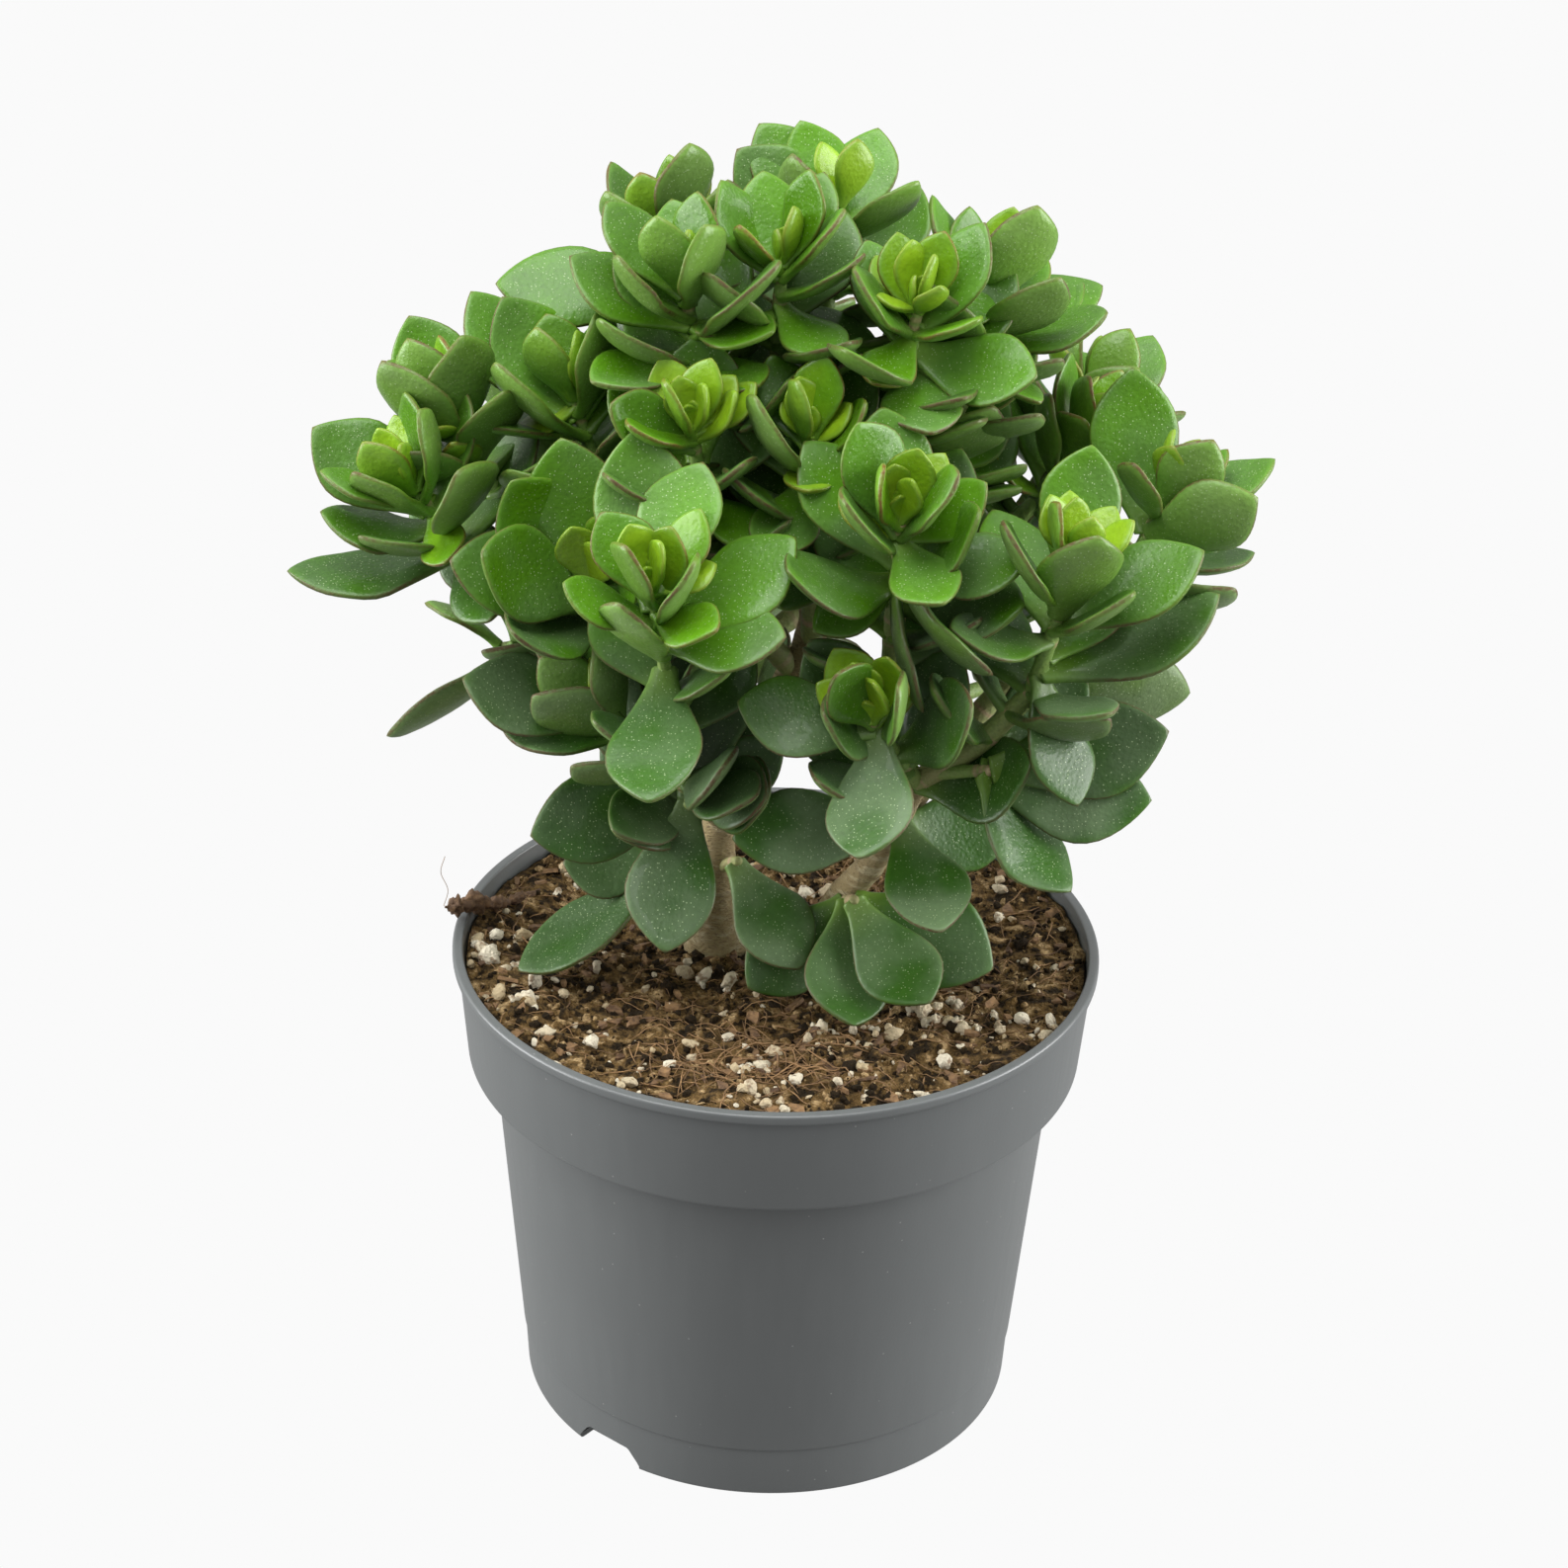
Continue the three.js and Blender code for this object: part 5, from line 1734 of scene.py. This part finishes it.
@dataclass
class Soil:
    """The root ball's lumpy top and what lies on it. Millimetres.

    Attributes:
        crumbs: number of crumbs and flakes of peat.
        grains: number of small white grains.
        clusters: places where half of the grains gather,
        cluster_size: and how far they spread there.
        mound: how high the soil's broad mounds are,
        mound_size: and how far apart.
        sunk: how much the soil sinks at the wall.
        bank: how much it rises at the left and right walls.
        fibres: number of coir hairs all over,
        tuft: middle of the place where they are dense,
        tuft_size: how far that one spreads to the side and to the back,
        tuft_fibres: and the number of hairs in it.
        chips: number of bark chips.
    """

    # Height and size of the clods, their seed, and how many sizes are laid over each other.
    CLODS = ((1.7, 9, 5, 2), (0.9, 2.8, 7, 3))
    CRUMB_SIZES = Sizes(1.8, 0.3, 0.3, 2.6)
    GRAIN_SIZES = Sizes(1.5, 0.62, 0.4, 2.9)
    CHIP_SIZES = (1.5, 4.5)
    FIBRE_LENGTHS = (4, 16)
    TUFT_LENGTHS = (7, 18)
    # Name of the piece, and how flat its crumbs may be.
    CRUMBS = (("soil_crumbs", 0.5), ("soil_flakes", 0.75))

    peat: bpy.types.Material
    mineral: bpy.types.Material
    fibre: bpy.types.Material
    level: float = SOIL_LEVEL
    radius: float = 81.4
    rings: int = 90
    sides: int = 260
    crumbs: int = 5000
    grains: int = 560
    clusters: int = 26
    cluster_size: float = 3.2
    mound: float = 1.2
    mound_size: float = 34
    sunk: float = 1.6
    bank: float = 3.4
    fibres: int = 520
    tuft: tuple[float, float] = (-4.0, -50.0)
    tuft_size: tuple[float, float] = (13, 8)
    tuft_fibres: int = 110
    chips: int = 300

    def __post_init__(self) -> None:
        """Starts the soil's own random numbers."""
        self.random = np.random.default_rng(SEED + 500)

    def height(self, spot: np.ndarray) -> np.ndarray:
        """Gives the soil's height.

        Args:
            spot: rows of x, y.

        Returns:
            The height at each row.
        """
        flat = np.column_stack([spot, np.zeros(len(spot))])
        far = np.hypot(spot[:, 0], spot[:, 1]) / self.radius
        mound = self.mound * lumps(flat, self.mound_size, 3) - self.sunk * blend_of(0.8, 1.0, far)
        beside = np.abs(spot[:, 0]) / self.radius
        mound += self.bank * blend_of(0.72, 0.97, far) * blend_of(0.35, 0.85, beside)
        clods = sum(high * lumps(flat, size, seed, octaves) for high, size, seed, octaves in self.CLODS)
        return self.level + mound + clods

    def body(self) -> None:
        """Makes the root ball: a lumpy top over sides that follow the pot's inside."""
        pot = Pot(self.peat)
        gap = pot.wall + 0.35
        share = np.linspace(1 / self.rings, 1, self.rings)
        circle = circle_of(self.sides)
        top = (share[:, None, None] * self.radius * circle[None]).reshape(-1, 2)
        surface = np.column_stack([top, self.height(top)])
        shoulder = pot.height - pot.band + gap
        foot = pot.body_bottom - gap
        sides = [
            (pot.band_bottom - gap + 0.2, shoulder), (pot.body_top - gap, shoulder - 0.1),
            (foot + 0.8, pot.slot_height + 1), (foot - 8, pot.slot_height), (foot - 9, pot.floor + 0.4),
        ]
        under = [np.column_stack([radius * circle, np.full(self.sides, z)]) for radius, z in sides]
        crown = self.height(np.zeros((1, 2)))[0]
        skin = np.concatenate([[[0, 0, crown]], surface, *under, [[0, 0, sides[-1][1]]]])
        faces = [block[:, ::-1] for block in ring_faces(self.rings + len(sides), self.sides)]
        shell = Shell()
        shell.add(skin * MM, faces, tone=0.5)
        finish_piece(shell.build("root_ball"), self.peat, Slot.SOIL, "soil")

    def spots(self, count: int, reach: float = 1.0) -> np.ndarray:
        """Gives random places on the soil.

        Args:
            count: how many.
            reach: the share of the soil's radius that they keep to.

        Returns:
            Rows of x, y, z, on the surface.
        """
        far = self.radius * 0.985 * reach * np.sqrt(self.random.uniform(0, 1, count))
        turn = self.random.uniform(0, 2 * math.pi, count)
        flat = np.stack([far * np.cos(turn), far * np.sin(turn)], 1)
        return np.column_stack([flat, self.height(flat)])

    def stones(
        self, spots: np.ndarray, sizes: np.ndarray, squash: float, tones: np.ndarray, fine: bool
    ) -> Shell:
        """Makes irregular lumps.

        Args:
            spots: the middle of each.
            sizes: the radius of each.
            squash: how flat they may be.
            tones: the tone of each.
            fine: whether they are finely faced.

        Returns:
            A shell of them all.
        """
        rings, sides = (7, 12) if fine else (4, 8)
        rise = np.linspace(0, math.pi, rings + 2)[1:-1]
        flat = (np.sin(rise)[:, None, None] * circle_of(sides)).reshape(-1, 2)
        ball = np.column_stack([flat, np.repeat(-np.cos(rise), sides)])
        ball = np.concatenate([[[0, 0, -1]], ball, [[0, 0, 1]]])
        faces = ring_faces(rings, sides)
        shell = Shell()
        for spot, size, tone in zip(spots, sizes, tones):
            number = int(self.random.integers(1 << 16))
            stretch = self.random.uniform(1 - squash, 1, 3)
            form = ball * (1 + 0.42 * lumps(ball + number % 61, 0.8, number % 89, 3))[:, None] * stretch
            a, b, c = self.random.uniform(0, 2 * math.pi, 3)
            turn = Matrix.Rotation(a, 3, "X") @ Matrix.Rotation(b, 3, "Y") @ Matrix.Rotation(c, 3, "Z")
            shell.add((spot + form @ np.array(turn) * size) * MM, faces, tone=tone)
        return shell

    def lay_crumbs(self) -> None:
        """Lays crumbs and flakes of peat on the soil."""
        count = self.crumbs // len(self.CRUMBS)
        for name, squash in self.CRUMBS:
            sizes = self.CRUMB_SIZES.draw(self.random, count)
            crumbs = self.stones(self.spots(count), sizes, squash, self.random.beta(0.6, 0.9, count), False)
            finish_piece(crumbs.build(name), self.peat, Slot.SOIL)

    def lay_grains(self) -> None:
        """Lays the white grains, half of them in clusters."""
        spots = self.spots(self.grains)
        gathered = self.spots(self.clusters)[self.random.integers(0, self.clusters, self.grains // 2), :2]
        gathered += self.random.normal(0, self.cluster_size, gathered.shape)
        gathered *= np.minimum(1, 0.97 * self.radius / np.hypot(*gathered.T))[:, None]
        spots[: len(gathered)] = np.column_stack([gathered, self.height(gathered)])
        sizes = self.GRAIN_SIZES.draw(self.random, self.grains)
        spots[:, 2] += sizes * 0.3
        tones = self.random.uniform(0, 1, self.grains)
        grains = self.stones(spots, sizes, 0.6, tones, True)
        finish_piece(grains.build("perlite_grains"), self.mineral, Slot.PERLITE)

    def lay_chips(self) -> None:
        """Lays the bark chips."""
        chips = Shell()
        for spot in self.spots(self.chips):
            self.chip(chips, spot, self.random.uniform(*self.CHIP_SIZES), self.random.uniform(0.35, 1))
        finish_piece(chips.build("bark_chips", smooth=False), self.fibre, Slot.DRY_BARK)

    def lay_fibres(self) -> None:
        """Lays the coir hairs, dense in the tuft at the front."""
        strands = Shell()
        for spot in self.spots(self.fibres):
            self.strand(strands, spot, self.random.uniform(*self.FIBRE_LENGTHS), self.random.uniform(0, 0.9))
        for _ in range(self.tuft_fibres):
            flat = np.array(self.tuft) + self.random.normal(0, self.tuft_size)
            spot = np.array([*flat, self.height(flat[None])[0]])
            self.strand(strands, spot, self.random.uniform(*self.TUFT_LENGTHS), self.random.uniform(0, 0.5))
        finish_piece(strands.build("coir_fibres"), self.fibre, Slot.DRY_BARK)

    def strand(self, shell: Shell, spot: np.ndarray, length: float, tone: float) -> None:
        """Adds one curved hair of coir that lies on the soil.

        Args:
            shell: what gathers the strands.
            spot: its middle.
            length: its length.
            tone: 0 for rusty and 1 for dark.
        """
        heading = self.random.uniform(0, 2 * math.pi)
        curl = self.random.uniform(-0.12, 0.12)
        along = np.linspace(-0.5, 0.5, 9) * length
        angle = heading + curl * along
        step = np.stack([np.cos(angle), np.sin(angle)], 1) * (length / 8)
        flat = spot[:2] + np.cumsum(step, axis=0) - step.sum(axis=0) / 2
        inside = np.hypot(flat[:, 0], flat[:, 1]) < self.radius - 0.6
        if inside.sum() < 4:
            return
        flat = flat[inside]
        lift = self.random.uniform(0.1, 1.4) * np.sin(np.linspace(0, math.pi, len(flat)))
        path = np.column_stack([flat, self.height(flat) + 0.35 + lift])
        thin = self.random.uniform(0.09, 0.2) * np.sin(np.linspace(0.5, 2.7, len(flat)))
        points, faces = tube(path * MM, thin * MM, 5)
        shell.add(points, faces, tone=tone)

    def chip(self, shell: Shell, spot: np.ndarray, size: float, tone: float) -> None:
        """Adds one flat torn chip of bark.

        Args:
            shell: what gathers the chips.
            spot: its middle.
            size: half its length.
            tone: 0 for rusty and 1 for dark.
        """
        count = 7
        turn = np.sort(self.random.uniform(0, 2 * math.pi, count))
        far = self.random.uniform(0.55, 1, count) * size
        flat = np.stack([far * np.cos(turn), 0.55 * far * np.sin(turn), np.zeros(count)], 1)
        thick = np.array([0, 0, self.random.uniform(0.25, 0.6)])
        turned = Matrix.Rotation(self.random.uniform(0, 2 * math.pi), 3, "Z")
        tilted = Matrix.Rotation(self.random.uniform(-0.6, 0.6), 3, "X")
        torn = np.concatenate([flat - thick, flat * 0.93 + thick])
        points = torn @ np.array(turned @ tilted).T + spot + [0, 0, 0.5]
        if np.max(np.hypot(points[:, 0], points[:, 1])) <= self.radius:
            shell.add(points * MM, prism_faces(count), tone=tone)

    def build(self) -> None:
        """Makes the root ball and everything loose on it."""
        self.body()
        self.lay_crumbs()
        self.lay_grains()
        self.lay_chips()
        self.lay_fibres()


@dataclass
class LooseBits:
    """What the CAD model gives one by one: the bark twig over the rim and the biggest grains."""

    soil: Soil
    grains: int = 3
    sides: int = 24

    # From the corners of the twig's box to its ends, in millimetres.
    FROM_CORNER = np.array([-4, -3, -1.2])
    TO_CORNER = np.array([1.2, 1.6, 0.4])
    # How far the twig bends along x, y and z, in millimetres, and how often and from where, in radians.
    BENDS = ((0.9, 9, 0), (1.1, 6, 1), (0.7, 11, 0))
    # The torn hair at the twig's tip, from there, in millimetres.
    HAIR = np.array([[0, 0, 0], [1.2, 0, 5], [-0.6, 0.4, 10], [0.6, 0, 15]])
    HAIR_RADIUS = 0.09

    def grain(self, number: int) -> None:
        """Makes one big grain in the middle of its CAD node's box.

        Args:
            number: the number in the node's name.
        """
        node = f"perlite_{number}"
        low, high = box_of(node)
        size = float(max(high - low)) / 2
        middle = (low + high) / 2
        stone = self.soil.stones(middle[None], np.array([size * 0.95]), 0.25, np.array([0.1]), True)
        finish_piece(stone.build(f"large_perlite_{number}"), self.soil.mineral, Slot.PERLITE, node)

    def twig(self) -> None:
        """Makes the bent, torn twig from corner to corner of its CAD node's box, with its hair."""
        low, high = box_of("bark_twig")
        start = np.array([high[0], high[1], low[2]]) + self.FROM_CORNER
        end = np.array([low[0], low[1], high[2]]) + self.TO_CORNER
        at = np.linspace(0, 1, 72)
        path = start + np.outer(at, end - start)
        path += np.column_stack([far * np.sin(at * often + first) for far, often, first in self.BENDS])
        radius = 0.9 + 1.9 * at**2 + 0.9 * lumps(path, 2.4, 11, 3)
        radius *= blend_of(1.0, 0.93, at)
        points, faces = tube(path * MM, np.maximum(radius, 0.3) * MM, self.sides)
        points = roughened(path * MM, points, 0.75 * lumps(points, 1.1 * MM, 13, 3))
        shell = Shell()
        shell.add(points, faces, tone=0.95)
        hair = through((end + self.HAIR).tolist(), np.linspace(0, 1, 24))
        points, faces = tube(hair * MM, np.full(len(hair), self.HAIR_RADIUS * MM), 5)
        shell.add(points, faces, tone=0.2)
        finish_piece(shell.build("bark_twig_on_rim"), self.soil.fibre, Slot.DRY_BARK, "bark_twig")

    def build(self) -> None:
        """Makes the grains and the twig."""
        for number in range(1, self.grains + 1):
            self.grain(number)
        self.twig()


# ---- The studio -----------------------------------------------------------------------------


@dataclass
class Studio:
    """The camera, the floor and the light."""

    distance: float = 1.0
    elevation: float = 28.31
    aim: tuple[float, float, float] = (0.00101, 0.0, 0.17815)
    roll: float = 1.49
    lens: float = 89.1
    level: float = 0.956

    def camera(self) -> None:
        """Stands the camera in front of the plant, looking down at it."""
        tilt = math.radians(self.elevation)
        back = Vector((0, -math.cos(tilt), math.sin(tilt)))
        data = bpy.data.cameras.new("camera")
        data.lens = self.lens
        data.sensor_width = 36
        data.clip_start = 0.01
        data.clip_end = 50
        camera = bpy.data.objects.new("camera", data)
        camera.location = Vector(self.aim) + back * self.distance
        facing = (-back).to_track_quat("-Z", "Y").to_matrix()
        turned = facing @ Matrix.Rotation(math.radians(self.roll), 3, "Z")
        camera.rotation_euler = turned.to_euler()
        bpy.context.scene.collection.objects.link(camera)
        bpy.context.scene.camera = camera

    def floor(self) -> None:
        """Lays the pale floor."""
        half = 20.0
        shell = Shell()
        points = np.array([[-half, -half, 0], [half, -half, 0], [half, half, 0], [-half, half, 0]], float)
        shell.add(points - [0, 0, 0.0002], [np.array([[0, 1, 2, 3]])])
        piece = shell.build("studio_floor", smooth=False)
        piece.data.materials.append(StudioFloor().make())

    def light(self, name: str, place: Row, size: float, power: float) -> None:
        """Hangs one square soft light that faces the plant.

        Args:
            name: the light's name.
            place: where it hangs, in metres.
            size: its side, in metres.
            power: its power, in watts.
        """
        data = bpy.data.lights.new(name, "AREA")
        data.energy = power
        data.size = size
        lamp = bpy.data.objects.new(name, data)
        lamp.location = place
        toward = Vector(self.aim) - Vector(place)
        lamp.rotation_euler = toward.to_track_quat("-Z", "Y").to_euler()
        bpy.context.scene.collection.objects.link(lamp)

    def world(self) -> None:
        """Makes the backdrop: a pale wall for the camera and a soft sky for the light."""
        world = bpy.data.worlds.new("studio")
        bpy.context.scene.world = world
        tree = bare_tree(world)
        nodes = Nodes(tree)
        seen = nodes.add("Background", {"Color": (self.level,) * 3, "Strength": 1.0})
        direction = nodes.add("TexCoord").outputs["Generated"]
        height = nodes.add("SeparateXYZ", {0: direction}).outputs[2]
        sky = nodes.ramp(height, -0.1, 0.9, 0.12, 0.95)
        given = nodes.add("Background", {"Color": (1.0, 1.0, 1.0), "Strength": sky})
        direct = nodes.add("LightPath").outputs["Is Camera Ray"]
        mixed = nodes.add("MixShader", {0: direct, 1: given.outputs[0], 2: seen.outputs[0]})
        output = nodes.add("OutputWorld")
        tree.links.new(mixed.outputs[0], output.inputs[0])

    def build(self) -> None:
        """Makes the whole studio."""
        self.camera()
        self.floor()
        self.world()
        self.light("overhead_softbox", (-0.15, -0.15, 1.25), 0.9, 14.0)
        self.light("left_softbox", (-1.1, -0.05, 0.45), 0.9, 21.0)
        self.light("right_softbox", (1.1, -0.05, 0.45), 0.9, 21.0)
        view = bpy.context.scene.view_settings
        view.view_transform = "Standard"
        view.look = "None"


# ---- Assembly -------------------------------------------------------------------------------


def main() -> None:
    """Builds the studio, the plant, the pot and the soil."""
    logging.basicConfig(level=logging.INFO, format="%(message)s")
    Studio().build()
    leaf_skin = LeafSkin().make()
    stem_skin = StemSkin().make()
    bark = Bark().make()
    for plan in SHOOTS:
        Shoot(plan, leaf_skin, stem_skin).build()
    for name in WOOD:
        Limb(name, bark, stem_skin).build()
    Pot(PotPlastic().make()).build()
    soil = Soil(Peat().make(), Mineral().make(), DryFibre().make())
    soil.build()
    LooseBits(soil).build()


if __name__ == "__main__":
    main()
